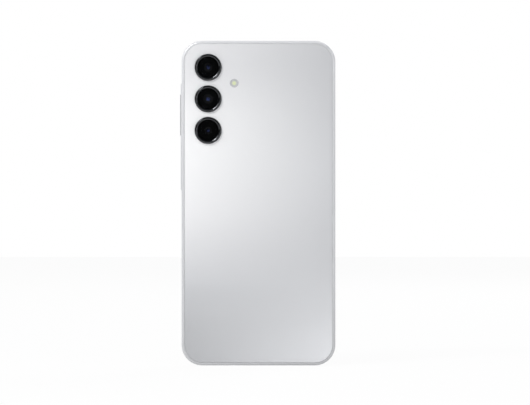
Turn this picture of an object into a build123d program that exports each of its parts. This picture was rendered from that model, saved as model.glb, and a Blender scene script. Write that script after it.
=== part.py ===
from build123d import *
import os

# A 6.7-inch touchscreen phone, standing upright. Z runs along its length and X across it.
# The screen faces -Y, the back panel +Y, and the keys are on +X.
# The origin is the middle of the bottom edge, at half the width and half the thickness.
# Sizes are in millimetres.

# Outside of the body
LENGTH = 164.4
WIDTH = 77.9
THICKNESS = 7.9
CORNER_RADIUS = 10.4
BACK_EDGE_RADIUS = 1.2
FRONT_EDGE_RADIUS = 0.7

# Frame: one moulded ring, with a shelf under the back panel and one under the glass
WALL = 2.2
BACK_RIM = 1.5
BACK_SHELF = 1.3
BACK_SHELF_DEPTH = 0.8
FRONT_RIM = 1.0
FRONT_SHELF = 1.6

# Layers, from the screen to the back
GLASS = 0.6
GLASS_ADHESIVE = 0.2
DISPLAY = 1.0
DISPLAY_GAP = 0.1
PLATE = 0.5
BATTERY_STRIP = 0.1
BATTERY_TO_PANEL = 0.4
BOARD_STANDOFF = 1.95
BOARD = 0.8
COVER = 0.6
COVER_TO_PANEL = 0.25
PANEL_SEAL = 0.15
PANEL = 0.8

# Clearances
FIT = 0.05
PANEL_GAP = 0.08
INSERT_GAP = 0.15
CUTOUT_GAP = 0.3
RUNNING = 0.05

# Display: the lit area and the dark borders round it
BEZEL_SIDE = 3.3
BEZEL_TOP = 3.5
BEZEL_BOTTOM = 6.4
DISPLAY_BORDER = 0.5
DRIVER_BORDER = 2.5
DISPLAY_CORNER = 8.0

# Front camera and earpiece
FRONT_CAMERA_FROM_TOP = 7.0
FRONT_CAMERA_SIDE = 5.6
FRONT_CAMERA_BARREL = 1.9
FRONT_CAMERA_STEP = 1.1
EARPIECE_SLOT_LENGTH = 13.2
EARPIECE_SLOT = 0.5
EARPIECE_LENGTH = 12.0
EARPIECE_WIDTH = 5.0
EARPIECE_X = -11.5

# Keys, on a raised island of the frame
ISLAND_RISE = 0.45
ISLAND_FROM_TOP = 21.2
ISLAND_LENGTH = 55.0
ISLAND_RAMP = 1.3
ISLAND_DEPTH = 5.0
ISLAND_EDGE = 0.3
KEY_GAP = 0.12
VOLUME_FROM_TOP = 37.5
VOLUME_LENGTH = 20.8
VOLUME_DEPTH = 2.3
VOLUME_RISE = 0.28
POWER_FROM_TOP = 65.05
POWER_LENGTH = 17.8
POWER_DEPTH = 2.7
SENSOR_LENGTH = 15.0
SENSOR_DEPTH = 2.0
SENSOR = 0.3
KEY_FREE = 0.35
KEY_FLANGE = 0.6
KEY_LIP_LENGTH = 0.8
KEY_LIP_DEPTH = 0.3
SWITCH_GAP = 0.3
SWITCH = 0.35
SWITCH_LENGTH = 3.0
SWITCH_DEPTH = 2.4
SWITCH_BUTTON = 0.8
SWITCH_OFFSET = 7.0
KEY_FLEX = 0.4
KEY_FLEX_DEPTH = 3.2
LUG_LENGTH = 2.0

# Camera column, with three separate rings
RING_FROM_SIDE = 13.45
RING_FROM_TOP = 13.5
RING_SPACING = 2.29
RING_RADIUS = 6.83
RING_RISE = 1.3
RING_EDGE = 0.3
RING_CHAMFER = 0.3
RING_WALL = 1.23
LENS_LEDGE = 0.6
RING_FLANGE_WIDTH = 0.57
RING_FLANGE = 0.2
LENS = 0.6
LENS_RECESS = 0.35

# Camera modules: side of the housing, its height, barrel radius, gap from barrel to lens cover
MAIN_SIDE = 10.4
MAIN_BARREL = 3.6
MAIN_BARREL_GAP = 0.65
WIDE_SIDE = 8.5
WIDE_BARREL = 2.9
WIDE_BARREL_GAP = 0.8
MACRO_SIDE = 6.5
MACRO_BARREL = 2.1
MACRO_BARREL_GAP = 1.2
MODULE_TO_PANEL = 0.3
SENSOR_STACK = 0.7
APERTURE = 1.3

# Flash
FLASH_FROM_RINGS = 13.2
FLASH_FROM_TOP = 21.5
FLASH_RADIUS = 2.15
FLASH_RECESS = 0.05
FLASH_BASE = 3.4
FLASH_EMITTER = 1.1

# Battery, between the antenna cable and the key flex
BATTERY_BOTTOM = 24.0
BATTERY_TO_BOARD = 1.5
CABLE_ROOM = 6.2
FLEX_ROOM = 1.2
BATTERY_CORNER = 1.5

# Boards
BOARD_BELOW_CAMERAS = 3.25
COVER_BELOW_BOARD = 0.5
PROCESSOR_CAN_SIDES = (-24.0, 0.0)
RADIO_CAN_INSET = 10.0
RADIO_CAN_RIGHT = -6.0
FRONT_CAN_TO_LEVER = 5.95
FRONT_CAN_TO_RINGS = 8.5
SUB_BOARD_TOP = 22.5
SUB_BOARD_TO_SPEAKER = 0.8
SHIELD_WALL = 0.15
THERMAL_PAD = 0.3
THERMAL_PAD_INSET = 1.5
FRONT_SHIELD = 1.2
CHIP = 0.6

# Screws
HEAD_RADIUS = 1.25
HEAD = 0.5
SHANK_RADIUS = 0.7
THREAD_FIT = 0.03
POST_RADIUS = 1.7
CROSS_LENGTH = 1.5
CROSS_WIDTH = 0.3
CROSS_DEPTH = 0.3

# Bottom edge: USB-C receptacle to the connector standard, microphone and speaker holes
PORT_WIDTH = 8.34
PORT_DEPTH = 2.56
PORT_WALL = 0.3
PORT_RECESS = 0.35
PORT_LENGTH = 6.95
PORT_GASKET = 0.15
TONGUE_WIDTH = 6.69
TONGUE = 0.7
TONGUE_RECESS = 0.8
CONTACT_PITCH = 0.5
CONTACT_WIDTH = 0.25
CONTACT = 0.05
CONTACT_LENGTH = 3.5
CONTACTS_PER_SIDE = 12
MIC_HOLE_RADIUS = 0.45
BOTTOM_MIC_X = -12.0
TOP_MIC_X = 9.0
MIC_WIDTH = 3.5
MIC_LENGTH = 2.65
MIC = 1.0
SPEAKER_HOLES = 6
SPEAKER_HOLE_RADIUS = 0.55
SPEAKER_PITCH = 2.0
SPEAKER_OFFSET = 3.2
MESH = 0.15

# Loudspeaker box
SPEAKER_WIDTH = 22.6
SPEAKER_TOP = 20.8
SPEAKER_WALL = 0.8
DIAPHRAGM_LENGTH = 16.0
DIAPHRAGM_WIDTH = 11.0
DIAPHRAGM = 0.3
DIAPHRAGM_SEAT = 1.0

# Vibration motor
MOTOR_FROM_WALL = 4.75
MOTOR_Z = 10.4
MOTOR_RADIUS = 4.0
MOTOR = 2.6
MOTOR_WALL = 0.2
MOTOR_SHAFT = 0.4
ROTOR_RADIUS = 3.4
ROTOR_GAP = 0.35

# Card tray: a flush face with an eject hole, and a carrier with two pockets
TRAY_FROM_TOP = 24.4
TRAY_LENGTH = 32.0
TRAY_WIDTH = 13.0
TRAY = 1.1
TRAY_TO_BOARD = 0.35
FACE = 1.4
EJECT_ROOM = 3.6
FACE_DEPTH = 2.4
FACE_OVERHANG = 0.8
FACE_CORNER = 1.19
FACE_GAP = 0.08
EJECT_HOLE_RADIUS = 0.5
EJECT_HOLE_INSET = 1.7
TRAY_SEAL = 0.6
TRAY_SEAL_WIDTH = 0.45
SEAL_GAP = 0.03
SIM_LENGTH = 12.3
SIM_WIDTH = 8.8
SIM = 0.67
MEMORY_LENGTH = 15.0
MEMORY_WIDTH = 11.0
MEMORY = 0.7
MEMORY_RIDGE = 0.25
RIDGE_WIDTH = 1.0
POCKET_DEPTH = 0.8
POCKET_GAP = 0.05
POCKET_LEDGE = 0.9
TRAY_END_WALL = 0.5
POCKET_SPACING = 1.0
SOCKET_SHEET = 0.15
SOCKET_GAP = 0.1
SOCKET_SIDE_WALL = 0.3

# Card eject: a pin pushes the rod, and the rod turns a lever towards the tray's end
ROD = 0.8
ROD_TO_FACE = 0.25
ROD_TRAVEL = 1.0
ROD_TO_LEVER = 0.15
LEVER_WIDTH = 1.4
LEVER_ARM = 4.4
LEVER_END = 0.3
LEVER = 0.7
LEVER_TO_TRAY = 0.3
LEVER_PIN = 0.6
LEVER_HUB = 1.1
LEVER_SWING = 3.4

# Flexes and the antenna cable
FLEX = 0.15
FLEX_WIDTH = 12.0
MAIN_FLEX_FROM_MOTOR = 14.0
CONNECTOR = 0.6
CONNECTOR_WIDTH = 3.0
BATTERY_FLEX_X = 6.0
BATTERY_FLEX_WIDTH = 6.0
BATTERY_PLUG_EDGE = 1.0
DISPLAY_FLEX = 0.08
LOOP_WIDTH = 30.0
LOOP_LENGTH = 26.0
LOOP_BAND = 3.5
CABLE_RADIUS = 0.4
CABLE_FROM_WALL = 5.15
PLUG_RADIUS = 1.0

# Depths of the layers
FRONT = -THICKNESS / 2
BACK = THICKNESS / 2
GLASS_BACK = FRONT + GLASS
FRONT_SHELF_Y = GLASS_BACK + GLASS_ADHESIVE
DISPLAY_BACK = GLASS_BACK + DISPLAY
PLATE_FRONT = DISPLAY_BACK + DISPLAY_GAP
PLATE_BACK = PLATE_FRONT + PLATE
PANEL_FRONT = BACK - PANEL
SHELF_BACK = PANEL_FRONT - PANEL_SEAL
SHELF_FRONT = SHELF_BACK - BACK_SHELF_DEPTH
BOARD_FRONT = PLATE_BACK + BOARD_STANDOFF
BOARD_BACK = BOARD_FRONT + BOARD
COVER_BACK = PANEL_FRONT - COVER_TO_PANEL
COVER_FRONT = COVER_BACK - COVER
BATTERY_FRONT = PLATE_BACK + BATTERY_STRIP
BATTERY_BACK = PANEL_FRONT - BATTERY_TO_PANEL
SHIELD_BACK = COVER_FRONT - THERMAL_PAD
RING_BACK = BACK + RING_RISE
LENS_BACK = RING_BACK - LENS_RECESS
LENS_FRONT = LENS_BACK - LENS

# Room inside the frame, and what can be put in past the back shelf
INNER_X = WIDTH / 2 - WALL
INSERT_INSET = BACK_RIM + BACK_SHELF + INSERT_GAP
INSERT_X = WIDTH / 2 - INSERT_INSET

# Camera column and flash: the rings carry the lens covers, and the boards reach below the cameras
RING_X = WIDTH / 2 - RING_FROM_SIDE
RING_PITCH = 2 * RING_RADIUS + RING_SPACING
RING_FLANGE_RADIUS = RING_RADIUS + RING_FLANGE_WIDTH
LENS_RADIUS = RING_RADIUS - RING_WALL
RING_BORE = LENS_RADIUS - LENS_LEDGE
FLASH_X = RING_X - FLASH_FROM_RINGS
BOARD_FROM_TOP = RING_FROM_TOP + 2 * RING_PITCH + MACRO_SIDE / 2 + BOARD_BELOW_CAMERAS
BOARD_BOTTOM = LENGTH - BOARD_FROM_TOP
COVER_BOTTOM = BOARD_BOTTOM - COVER_BELOW_BOARD
BATTERY_TOP = BOARD_BOTTOM - BATTERY_TO_BOARD

# Keys, from the outside in
ISLAND_X = WIDTH / 2 + ISLAND_RISE
ISLAND_TOP = LENGTH - ISLAND_FROM_TOP
ISLAND_BOTTOM = ISLAND_TOP - ISLAND_LENGTH
VOLUME_Z = LENGTH - VOLUME_FROM_TOP
POWER_Z = LENGTH - POWER_FROM_TOP
FLANGE_OUTER = INNER_X - KEY_FREE
FLANGE_INNER = FLANGE_OUTER - KEY_FLANGE
SWITCH_OUTER = FLANGE_INNER - SWITCH_GAP
KEY_FLEX_OUTER = SWITCH_OUTER - SWITCH
KEY_FLEX_INNER = KEY_FLEX_OUTER - KEY_FLEX
KEY_FLEX_TOP = VOLUME_Z + VOLUME_LENGTH / 2 + KEY_LIP_LENGTH + LUG_LENGTH + KEY_GAP
KEY_FLEX_BOTTOM = POWER_Z - POWER_LENGTH / 2 - KEY_LIP_LENGTH - LUG_LENGTH - KEY_GAP

# Battery edges
BATTERY_LEFT = -INNER_X + CABLE_ROOM
BATTERY_RIGHT = KEY_FLEX_INNER - FLEX_ROOM

# Card tray places
TRAY_Z = LENGTH - TRAY_FROM_TOP
TRAY_OUTER = -WIDTH / 2
TRAY_INNER = TRAY_OUTER + TRAY_LENGTH
TRAY_BACK = BOARD_FRONT - TRAY_TO_BOARD
TRAY_FRONT = TRAY_BACK - TRAY
TRAY_Y = (TRAY_FRONT + TRAY_BACK) / 2
FACE_TOP = TRAY_Z + TRAY_WIDTH / 2 + FACE_OVERHANG
FACE_LENGTH = TRAY_WIDTH + FACE_OVERHANG + EJECT_ROOM
FACE_Z = FACE_TOP - FACE_LENGTH / 2
EJECT_Z = FACE_TOP - FACE_LENGTH + EJECT_HOLE_INSET
LEVER_Z = EJECT_Z + LEVER_ARM
LEVER_FACE_X = TRAY_INNER + ROD_TRAVEL + LEVER_TO_TRAY
LEVER_X = LEVER_FACE_X + LEVER_WIDTH / 2
ROD_INNER = LEVER_FACE_X - ROD_TO_LEVER
ROD_OUTER = TRAY_OUTER + FACE + ROD_TO_FACE
MEMORY_X = TRAY_INNER - TRAY_END_WALL - POCKET_GAP - MEMORY_LENGTH / 2
SIM_X = MEMORY_X - MEMORY_LENGTH / 2 - POCKET_SPACING - SIM_LENGTH / 2
POCKET_FLOOR = TRAY_FRONT + POCKET_DEPTH

# Port, motor, cable and speaker places
MOTOR_X = -INNER_X + MOTOR_FROM_WALL + MOTOR_RADIUS
CABLE_X = -INNER_X + CABLE_FROM_WALL
MAIN_FLEX_X = MOTOR_X + MAIN_FLEX_FROM_MOTOR
SPEAKER_LEFT = INSERT_X - SPEAKER_WIDTH
SPEAKER_X = INSERT_X - SPEAKER_WIDTH / 2 - SPEAKER_OFFSET
SUB_BOARD_RIGHT = SPEAKER_LEFT - SUB_BOARD_TO_SPEAKER
PORT_OUTER_WIDTH = PORT_WIDTH + 2 * PORT_WALL
PORT_OUTER_DEPTH = PORT_DEPTH + 2 * PORT_WALL
PORT_TOP = PORT_RECESS + PORT_LENGTH
MIC_Z = WALL + CUTOUT_GAP
SPEAKER_BACK = PANEL_FRONT - COVER_TO_PANEL

# Screw places: through the cover and the main board, and through the small board
COVER_SCREWS = [
    (-INSERT_X + 3.3, LENGTH - 6.8),
    (INSERT_X - 3.3, LENGTH - 6.8),
    (-INSERT_X + 1.8, BOARD_BOTTOM + 2.1),
    (INSERT_X - 4.0, BOARD_BOTTOM + 2.1),
    (-INSERT_X + 2.1, EJECT_Z - 3.4),
    (RING_X - 11.5, BOARD_BOTTOM + 13.5),
    (RING_X - 12.5, LENGTH - 7.2),
]
SUB_BOARD_SCREWS = [
    (-INSERT_X + 2.0, SUB_BOARD_TOP - 2.6),
    (SUB_BOARD_RIGHT - 2.6, SUB_BOARD_TOP - 2.6),
    ((MOTOR_X + MOTOR_RADIUS + BOTTOM_MIC_X) / 2 - 2.4, INSERT_INSET + 3.1),
]


def outline(width, height, radius, x=0.0, z=0.0):
    """A rounded rectangle across X and Z, placed by its middle."""
    return Pos(x, z) * RectangleRounded(width, height, radius)


def block_outline(x_low, x_high, z_low, z_high):
    """A plain rectangle across X and Z, by its edges."""
    return Pos((x_low + x_high) / 2, (z_low + z_high) / 2) * Rectangle(x_high - x_low, z_high - z_low)


def body_outline(inset):
    """The body's outline, moved inwards."""
    return outline(WIDTH - 2 * inset, LENGTH - 2 * inset, CORNER_RADIUS - inset, 0, LENGTH / 2)


def slab(sketch, y_low, y_high):
    """An outline across X and Z, made solid from one depth to another."""
    plane = Plane(origin=(0, y_low, 0), x_dir=(1, 0, 0), z_dir=(0, -1, 0))
    return extrude(plane * sketch, amount=y_low - y_high)


def side_slab(sketch, x_low, x_high):
    """An outline across Y and Z, made solid from one X to another."""
    plane = Plane(origin=(x_low, 0, 0), x_dir=(0, 1, 0), z_dir=(1, 0, 0))
    return extrude(plane * sketch, amount=x_high - x_low)


def end_slab(sketch, z_low, z_high):
    """An outline across X and Y, made solid from one height to another."""
    return extrude(Plane.XY.offset(z_low) * sketch, amount=z_high - z_low)


def block(x_low, x_high, y_low, y_high, z_low, z_high):
    """A plain block, by its edges."""
    return slab(block_outline(x_low, x_high, z_low, z_high), y_low, y_high)


def disc(radius, x, z, y_low, y_high):
    """A round slab with its axis along Y."""
    return slab(Pos(x, z) * Circle(radius), y_low, y_high)


def group(solids):
    """Like pieces kept as separate solids in one part."""
    return Compound(children=solids)


def ring_places():
    """Height of each camera ring, from the top one down."""
    return [LENGTH - RING_FROM_TOP - RING_PITCH * i for i in range(3)]


WIDE_Z, MAIN_Z, MACRO_Z = ring_places()
FLASH_Z = LENGTH - FLASH_FROM_TOP
FRONT_CAMERA_Z = LENGTH - FRONT_CAMERA_FROM_TOP


# Frame and outside panels


def key_island():
    """The long low rise on the frame's side that carries the keys, with ramped ends."""
    base = WIDTH / 2
    sketch = make_face(
        Polyline(
            (base - FRONT_RIM, ISLAND_BOTTOM),
            (base, ISLAND_BOTTOM),
            (ISLAND_X, ISLAND_BOTTOM + ISLAND_RAMP),
            (ISLAND_X, ISLAND_TOP - ISLAND_RAMP),
            (base, ISLAND_TOP),
            (base - FRONT_RIM, ISLAND_TOP),
            close=True,
        )
    )
    island = slab(sketch, -ISLAND_DEPTH / 2, ISLAND_DEPTH / 2)
    long_edges = island.edges().filter_by(Axis.Z).group_by(Axis.X)[-1]
    return fillet(long_edges, ISLAND_EDGE)


def key_slots():
    """Both key openings through the frame's side."""
    volume = outline(VOLUME_DEPTH + 2 * KEY_GAP, VOLUME_LENGTH + 2 * KEY_GAP, VOLUME_DEPTH / 2, 0, VOLUME_Z)
    power = outline(POWER_DEPTH + 2 * KEY_GAP, POWER_LENGTH + 2 * KEY_GAP, POWER_DEPTH / 2, 0, POWER_Z)
    return side_slab(volume + power, INNER_X - WALL, ISLAND_X + WALL)


def key_lugs():
    """Three ribs inside the frame that the key flex bears on."""
    tops = [
        KEY_FLEX_TOP,
        (VOLUME_Z - VOLUME_LENGTH / 2 + POWER_Z + POWER_LENGTH / 2) / 2 + LUG_LENGTH / 2,
        KEY_FLEX_BOTTOM + LUG_LENGTH,
    ]
    half = KEY_FLEX_DEPTH / 2
    return [block(KEY_FLEX_OUTER, INNER_X + FIT, -half, half, top - LUG_LENGTH, top) for top in tops]


def tray_face_outline(gap):
    """The tray face's rounded outline, with a gap all round."""
    return outline(
        FACE_DEPTH + 2 * gap, FACE_LENGTH + 2 * gap, FACE_CORNER + gap, TRAY_Y, FACE_Z
    )


def speaker_hole_places():
    """Where the speaker holes lie across the bottom edge."""
    first = SPEAKER_X - SPEAKER_PITCH * (SPEAKER_HOLES - 1) / 2
    return [first + SPEAKER_PITCH * i for i in range(SPEAKER_HOLES)]


def edge_holes():
    """Port, microphone and speaker holes through the bottom and top walls."""
    port = SlotOverall(PORT_OUTER_WIDTH + 2 * PORT_GASKET, PORT_OUTER_DEPTH + 2 * PORT_GASKET)
    holes = [
        end_slab(port, -WALL, 2 * WALL),
        end_slab(Pos(BOTTOM_MIC_X, 0) * Circle(MIC_HOLE_RADIUS), -WALL, 2 * WALL),
        end_slab(Pos(TOP_MIC_X, 0) * Circle(MIC_HOLE_RADIUS), LENGTH - 2 * WALL, LENGTH + WALL),
    ]
    for x in speaker_hole_places():
        holes.append(end_slab(Pos(x, 0) * Circle(SPEAKER_HOLE_RADIUS), -WALL, 2 * WALL))
    return holes


def side_frame():
    """The moulded ring round the phone, hollowed from both faces, with its key island."""
    frame = slab(body_outline(0), FRONT, BACK)
    frame = fillet(frame.faces().sort_by(Axis.Y)[-1].edges(), BACK_EDGE_RADIUS)
    frame = fillet(frame.faces().sort_by(Axis.Y)[0].edges(), FRONT_EDGE_RADIUS)
    frame += key_island()
    frame -= slab(body_outline(WALL), PLATE_FRONT, SHELF_FRONT)
    frame -= slab(body_outline(BACK_RIM + BACK_SHELF), SHELF_FRONT, BACK)
    frame -= slab(body_outline(BACK_RIM), SHELF_BACK, BACK)
    frame -= slab(body_outline(FRONT_RIM + FRONT_SHELF), FRONT, PLATE_FRONT)
    frame -= slab(body_outline(FRONT_RIM), FRONT, FRONT_SHELF_Y)
    for lug in key_lugs():
        frame += lug
    frame -= key_slots()
    frame -= side_slab(tray_face_outline(FACE_GAP), TRAY_OUTER - WALL, -INNER_X + WALL)
    for hole in edge_holes():
        frame -= hole
    return frame


def back_panel():
    """The flat back panel, with round holes for the camera rings and the flash."""
    panel = slab(body_outline(BACK_RIM + PANEL_GAP), PANEL_FRONT, BACK)
    for z in ring_places():
        panel -= disc(RING_RADIUS + FIT, RING_X, z, PANEL_FRONT, BACK)
    panel -= disc(FLASH_RADIUS + FIT, FLASH_X, FLASH_Z, PANEL_FRONT, BACK)
    return panel


def back_panel_seal():
    """The thin adhesive band between the back panel and the frame's shelf."""
    band = body_outline(BACK_RIM + PANEL_GAP) - body_outline(BACK_RIM + BACK_SHELF)
    return slab(band, SHELF_BACK, PANEL_FRONT)


def cover_glass():
    """The front glass, with the earpiece slot cut into its top edge."""
    glass = slab(body_outline(FRONT_RIM + FIT), FRONT, GLASS_BACK)
    top = LENGTH - FRONT_RIM
    half = EARPIECE_SLOT_LENGTH / 2
    return glass - block(-half, half, FRONT, GLASS_BACK, top - FIT - EARPIECE_SLOT, top)


def display_adhesive():
    """The adhesive band between the glass and the frame's front shelf."""
    band = body_outline(FRONT_RIM + FIT) - body_outline(FRONT_RIM + FRONT_SHELF)
    return slab(band, GLASS_BACK, FRONT_SHELF_Y)


def display_panel():
    """The display, with a rounded notch for the front camera."""
    low = BEZEL_BOTTOM - DRIVER_BORDER
    high = LENGTH - BEZEL_TOP + DISPLAY_BORDER
    width = WIDTH - 2 * BEZEL_SIDE + 2 * DISPLAY_BORDER
    panel = slab(outline(width, high - low, DISPLAY_CORNER, 0, (low + high) / 2), GLASS_BACK, DISPLAY_BACK)
    notch = FRONT_CAMERA_SIDE / 2 + CUTOUT_GAP
    panel -= disc(notch, 0, FRONT_CAMERA_Z, GLASS_BACK, DISPLAY_BACK)
    return panel - block(-notch, notch, GLASS_BACK, DISPLAY_BACK, FRONT_CAMERA_Z, LENGTH)


# Middle plate and battery


def screw_places():
    """All screws, each with a post under it."""
    return COVER_SCREWS + SUB_BOARD_SCREWS


def mid_plate():
    """The metal plate behind the display, with a threaded post for each screw."""
    plate = slab(body_outline(WALL + FIT), PLATE_FRONT, PLATE_BACK)
    half = FRONT_CAMERA_SIDE / 2 + CUTOUT_GAP
    plate -= block(-half, half, PLATE_FRONT, PLATE_BACK, FRONT_CAMERA_Z - half, FRONT_CAMERA_Z + half)
    slot_low, slot_high = display_flex_slot()
    half = FLEX_WIDTH / 2 + CUTOUT_GAP
    plate -= block(MAIN_FLEX_X - half, MAIN_FLEX_X + half, PLATE_FRONT, PLATE_BACK, slot_low, slot_high)
    for x, z in screw_places():
        plate += disc(POST_RADIUS, x, z, PLATE_BACK, BOARD_FRONT)
        plate -= disc(SHANK_RADIUS + THREAD_FIT, x, z, PLATE_BACK, BOARD_FRONT)
    return plate


def battery():
    """The flat battery pouch."""
    width = BATTERY_RIGHT - BATTERY_LEFT
    middle_z = (BATTERY_BOTTOM + BATTERY_TOP) / 2
    sketch = outline(
        width, BATTERY_TOP - BATTERY_BOTTOM, BATTERY_CORNER, (BATTERY_LEFT + BATTERY_RIGHT) / 2, middle_z
    )
    return slab(sketch, BATTERY_FRONT, BATTERY_BACK)


def battery_adhesive():
    """Two pull-out adhesive strips under the battery."""
    strips = []
    third = (BATTERY_RIGHT - BATTERY_LEFT) / 3
    for x in (BATTERY_LEFT + third, BATTERY_RIGHT - third):
        low = BATTERY_BOTTOM + FLEX_WIDTH
        high = BATTERY_TOP - FLEX_WIDTH
        strips.append(block(x - FLEX_WIDTH / 2, x + FLEX_WIDTH / 2, PLATE_BACK, BATTERY_FRONT, low, high))
    return group(strips)


def battery_flex():
    """The battery's lead to the main board, with its plug."""
    half = BATTERY_FLEX_WIDTH / 2
    low, high = BATTERY_FLEX_X - half, BATTERY_FLEX_X + half
    plug_low = BOARD_BOTTOM + BATTERY_PLUG_EDGE
    plug_top = plug_low + CONNECTOR_WIDTH
    lead_back = BOARD_BACK + FLEX
    lead = block(low, high, BOARD_BACK, lead_back, BATTERY_TOP, plug_top)
    return lead + block(low, high, lead_back, lead_back + CONNECTOR, plug_low, plug_top)


# Main board and what it carries


def module_outline(side, z, gap):
    """A camera module's square outline, with a gap all round."""
    return block_outline(
        RING_X - side / 2 - gap, RING_X + side / 2 + gap, z - side / 2 - gap, z + side / 2 + gap
    )


def camera_openings():
    """The outlines cut from the board and the cover for the three camera modules."""
    return [
        module_outline(WIDE_SIDE, WIDE_Z, CUTOUT_GAP),
        module_outline(MAIN_SIDE, MAIN_Z, CUTOUT_GAP),
        module_outline(MACRO_SIDE, MACRO_Z, CUTOUT_GAP),
    ]


def main_board():
    """The main circuit board across the top of the phone."""
    sketch = body_outline(INSERT_INSET) & block_outline(-WIDTH, WIDTH, BOARD_BOTTOM, LENGTH)
    for opening in camera_openings():
        sketch -= opening
    key_edge = KEY_FLEX_INNER - CUTOUT_GAP
    sketch -= block_outline(key_edge, WIDTH, 0, KEY_FLEX_TOP + CUTOUT_GAP)
    board = slab(sketch, BOARD_FRONT, BOARD_BACK)
    for x, z in COVER_SCREWS:
        board -= disc(SHANK_RADIUS + CUTOUT_GAP, x, z, BOARD_FRONT, BOARD_BACK)
    return board


PROCESSOR_CAN = (*PROCESSOR_CAN_SIDES, BOARD_BOTTOM + 7.6, BOARD_BOTTOM + 28.6)
RADIO_CAN = (-INSERT_X + RADIO_CAN_INSET, RADIO_CAN_RIGHT, BOARD_BOTTOM + 32.0, BOARD_BOTTOM + 45.5)
FRONT_CAN = (
    LEVER_X + FRONT_CAN_TO_LEVER,
    RING_X - FRONT_CAN_TO_RINGS,
    BOARD_BOTTOM + 18.0,
    BOARD_BOTTOM + 40.0,
)


def shield_can(edges, y_open, y_closed):
    """A thin metal can over part of a board, open towards the board."""
    x_low, x_high, z_low, z_high = edges
    wall = SHIELD_WALL
    if y_closed > y_open:
        hollow = (y_open, y_closed - wall)
        shell = (y_open, y_closed)
    else:
        hollow = (y_closed + wall, y_open)
        shell = (y_closed, y_open)
    can = block(x_low, x_high, *shell, z_low, z_high)
    return can - block(x_low + wall, x_high - wall, *hollow, z_low + wall, z_high - wall)


def rear_shield_cans():
    """Two cans on the board's back, over the processor and the radio."""
    return group([shield_can(edges, BOARD_BACK, SHIELD_BACK) for edges in (PROCESSOR_CAN, RADIO_CAN)])


def front_shield_can():
    """The can on the board's front."""
    return shield_can(FRONT_CAN, BOARD_FRONT, BOARD_FRONT - FRONT_SHIELD)


def chip(width, length, x, z):
    """A flat chip on the board's back."""
    return slab(outline(width, length, FIT, x, z), BOARD_BACK, BOARD_BACK + CHIP)


def board_chips():
    """Processor, memory and radio chips under the rear cans."""
    processor_z = (PROCESSOR_CAN[2] + PROCESSOR_CAN[3]) / 2
    radio_z = (RADIO_CAN[2] + RADIO_CAN[3]) / 2
    return group(
        [
            chip(11.0, 11.5, PROCESSOR_CAN[0] + 7.0, processor_z),
            chip(8.0, 11.5, PROCESSOR_CAN[1] - 5.6, processor_z),
            chip(6.5, 6.5, RADIO_CAN[0] + 10.0, radio_z),
        ]
    )


def thermal_pad():
    """The soft pad between the processor's can and the board cover."""
    x_low, x_high, z_low, z_high = PROCESSOR_CAN
    inset = THERMAL_PAD_INSET
    return block(x_low + inset, x_high - inset, SHIELD_BACK, COVER_FRONT, z_low + inset, z_high - inset)


def board_cover():
    """The moulded cover screwed over the main board, with a boss at each screw."""
    sketch = body_outline(INSERT_INSET) & block_outline(-WIDTH, WIDTH, COVER_BOTTOM, LENGTH)
    for opening in camera_openings():
        sketch -= opening
    flash = FLASH_BASE / 2 + CUTOUT_GAP
    sketch -= block_outline(FLASH_X - flash, FLASH_X + flash, FLASH_Z - flash, FLASH_Z + flash)
    cover = slab(sketch, COVER_FRONT, COVER_BACK)
    for x, z in COVER_SCREWS:
        cover += disc(POST_RADIUS, x, z, BOARD_BACK, COVER_FRONT)
    for x, z in COVER_SCREWS:
        cover -= disc(SHANK_RADIUS + RUNNING, x, z, BOARD_BACK, COVER_BACK)
        cover -= disc(HEAD_RADIUS + RUNNING, x, z, COVER_BACK - HEAD, COVER_BACK)
    return cover


def nfc_antenna():
    """The flat antenna loop on the board cover's back."""
    loop_x = (-INSERT_X + CABLE_ROOM + PROCESSOR_CAN[1]) / 2
    loop_z = (PROCESSOR_CAN[2] + PROCESSOR_CAN[3]) / 2
    loop = outline(LOOP_WIDTH, LOOP_LENGTH, LOOP_BAND, loop_x, loop_z)
    loop -= outline(LOOP_WIDTH - 2 * LOOP_BAND, LOOP_LENGTH - 2 * LOOP_BAND, LOOP_BAND / 2, loop_x, loop_z)
    return slab(loop, COVER_BACK, COVER_BACK + COVER_TO_PANEL / 2)


def screw(x, z, head_back, tip):
    """One cross-head screw driven from the back."""
    half = CROSS_LENGTH / 2
    head = disc(HEAD_RADIUS, x, z, head_back - HEAD, head_back)
    floor = head_back - CROSS_DEPTH
    for reach_x, reach_z in ((half, CROSS_WIDTH / 2), (CROSS_WIDTH / 2, half)):
        head -= block(x - reach_x, x + reach_x, floor, head_back, z - reach_z, z + reach_z)
    return head + disc(SHANK_RADIUS, x, z, tip, head_back - HEAD)


def board_screws():
    """The longer screws, through the cover and the main board."""
    return group([screw(x, z, COVER_BACK, PLATE_BACK + CUTOUT_GAP) for x, z in COVER_SCREWS])


def sub_board_screws():
    """The shorter screws, through the small board."""
    return group([screw(x, z, BOARD_BACK + HEAD, PLATE_BACK + CUTOUT_GAP) for x, z in SUB_BOARD_SCREWS])


# Cameras and flash


def camera_ring(z):
    """One camera ring: a bezel through the back panel, with a seat for its lens cover."""
    ring = disc(RING_RADIUS, RING_X, z, PANEL_FRONT, RING_BACK)
    ring = fillet(ring.faces().sort_by(Axis.Y)[-1].edges(), RING_EDGE)
    ring += disc(RING_FLANGE_RADIUS, RING_X, z, PANEL_FRONT - RING_FLANGE, PANEL_FRONT)
    ring -= disc(RING_BORE, RING_X, z, PANEL_FRONT - RING_FLANGE, RING_BACK)
    ring -= disc(LENS_RADIUS + FIT, RING_X, z, LENS_FRONT, RING_BACK)
    inner = ring.faces().sort_by(Axis.Y)[-1].edges().sort_by(SortBy.RADIUS)[0]
    return chamfer(inner, RING_CHAMFER)


def lens_cover(z):
    """The round glass in a camera ring."""
    return disc(LENS_RADIUS, RING_X, z, LENS_FRONT, LENS_BACK)


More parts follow.
